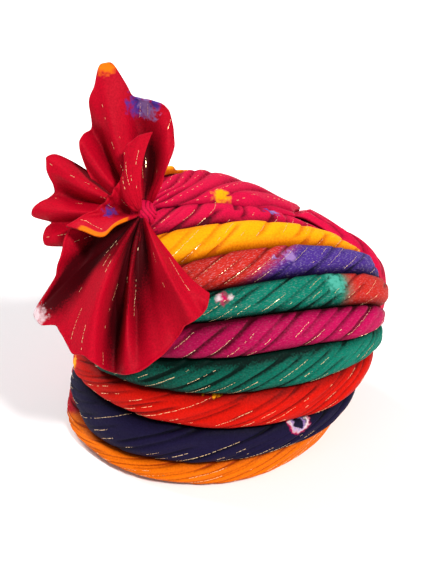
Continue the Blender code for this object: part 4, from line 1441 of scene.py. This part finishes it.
places = []
piece, twist_share = build_rim_roll(make_cloth("rim_roll", "marigold", change="crimson"), places)
rim_turn = np.linspace(-180.0, 180.0, len(twist_share) + 1)[:-1, None] + 0.0 * twist_share
mark_change(piece, smooth((-72.0 - rim_turn) / 6.0) * smooth((rim_turn + 135.0) / 15.0))
add_piece("rim_roll", piece, places)
places = []
piece, _ = build_far_roll(make_cloth("far_yellow_roll", "golden"), places)
add_piece("far_yellow_roll", piece, places)
places = []
top_cloth = make_cloth("top_wrap", "crimson_painted_sheen", MARKS["top_wrap"], crinkle=1.2)
add_piece("top_wrap", build_top_wrap(top_cloth, places), places)
add_piece("back_wrap", build_back_wrap(make_cloth("back_wrap", "crimson_painted_sheen")))
add_piece("crown", build_crown(make_cloth("crown", "crimson")))
add_piece("knot", build_knot(make_cloth("knot", "crimson_painted_sheen")))

# Fan piece, its folds, its layer as a share of the knot's half depth, radius and depth at the knot,
# steps round, steps out, seed
FANS = (
    ("left_lobes", LOBE_FOLDS, -0.50, 0.0088, -0.0065, 420, 70, 201),
    ("upper_plume", PLUME_FOLDS, -0.10, 0.0102, -0.0013, 420, 80, 202),
    ("lower_fan", LOWER_FOLDS, 0.30, 0.0040, 0.0097, 590, 80, 203),
    ("inner_petal", PETAL_FOLDS, 0.67, 0.0022, 0.0118, 420, 60, 204),
)

# Dyed marks on the fan: dye, angle at the hem, share of the way out, radius, inner radius, raggedness
FAN_SPOTS = {
    "upper_plume": (
        ("marigold", 104.0, 0.98, 0.0088, 0.0, 0.35),
        ("violet", 92.0, 0.94, 0.0110, 0.0, 0.45),
        ("lilac", 87.0, 0.93, 0.0100, 0.0, 0.60),
        ("violet", 83.0, 0.98, 0.0060, 0.0, 0.45),
    ),
    "lower_fan": (("white", -136.5, 1.0, 0.0105, 0.0, 0.40),),
    "inner_petal": (("violet", 176.0, 0.72, 0.0058, 0.0, 0.50),),
}

# Painted shade in a fan piece's hollows: how much, the angle it lies at and its width in degrees, and the
# share of the way out where it ends and over what share it does
FAN_SHADES = {
    "lower_fan": (
        (0.95, -139.0, 8.5, 1.00, 0.15),
        (0.70, -113.0, 22.0, 0.52, 0.32),
        (0.45, -86.0, 9.0, 0.62, 0.35),
    ),
    "upper_plume": ((0.60, 83.0, 7.0, 0.72, 0.30),),
}
for row in FANS:
    places = []
    piece = build_fan_sheet(row, FAN_SPOTS.get(row[0], ()), places)
    add_piece(row[0], piece, places, FAN_DASH_WIDTH)


# Each piece and its gold threads hang from the root body, and the imported solid is hidden

for node, piece in pieces.items():
    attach(piece, "root")
    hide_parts(node)
for node, piece in threads.items():
    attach(piece, "root")


# Table, light and camera

FLOOR = 3.0
FLOOR_COLOUR = (0.90, 0.90, 0.90, 1.0)
ROOM_LIGHT = 0.34
TARGET = Vector((0.018, 0.0, 0.110)) + Vector(ORIGIN)
CAMERA_DISTANCE = 0.90
CAMERA_ELEVATION = math.radians(30.0)
FOCAL_LENGTH = 70.19
SENSOR_WIDTH = 36.0

# Each light's place, energy, softness in degrees and colour
LIGHTS = {
    "key_light": ((0.58, -0.76, 1.00), 3.75, 10.0, (1.0, 0.97, 0.95)),
    "fill_light": ((-0.6, -1.0, 0.7), 0.25, 40.0, (1.0, 0.98, 1.0)),
    "back_light": ((-0.85, 0.75, 1.00), 2.7, 25.0, (1.0, 0.99, 1.0)),
}


def add_floor():
    """A plain pale table top."""
    mesh = bpy.data.meshes.new("table_top")
    corners = [(-FLOOR, -FLOOR, 0.0), (FLOOR, -FLOOR, 0.0), (FLOOR, FLOOR, 0.0), (-FLOOR, FLOOR, 0.0)]
    mesh.from_pydata(corners, [], [(0, 1, 2, 3)])
    material, _, shader = start_material("table_top")
    shader.inputs["Base Color"].default_value = FLOOR_COLOUR
    shader.inputs["Roughness"].default_value = 0.8
    mesh.materials.append(material)
    return add_object("table_top", mesh)


def add_sun(name, place, energy, softness, colour):
    """Even light from the direction of a place."""
    lamp = bpy.data.lights.new(name, "SUN")
    lamp.energy = energy
    lamp.angle = math.radians(softness)
    lamp.color = colour
    light = add_object(name, lamp)
    light.location = place
    light.rotation_euler = (-Vector(place)).to_track_quat("-Z", "Y").to_euler()


add_floor()
for name, light in LIGHTS.items():
    add_sun(name, *light)

world = bpy.data.worlds.new("pale_room")
world.use_nodes = True
background = world.node_tree.nodes["Background"]
background.inputs["Color"].default_value = (1.0, 1.0, 1.0, 1.0)
background.inputs["Strength"].default_value = ROOM_LIGHT
bpy.context.scene.world = world
bpy.context.scene.view_settings.view_transform = "Standard"

lens = bpy.data.cameras.new("camera")
lens.lens = FOCAL_LENGTH
lens.sensor_width = SENSOR_WIDTH
lens.clip_start = 0.01
camera = add_object("camera", lens)
back = Vector((0.0, -math.cos(CAMERA_ELEVATION), math.sin(CAMERA_ELEVATION)))
camera.location = TARGET + back * CAMERA_DISTANCE
camera.rotation_euler = (math.pi / 2 - CAMERA_ELEVATION, 0.0, 0.0)
bpy.context.scene.camera = camera
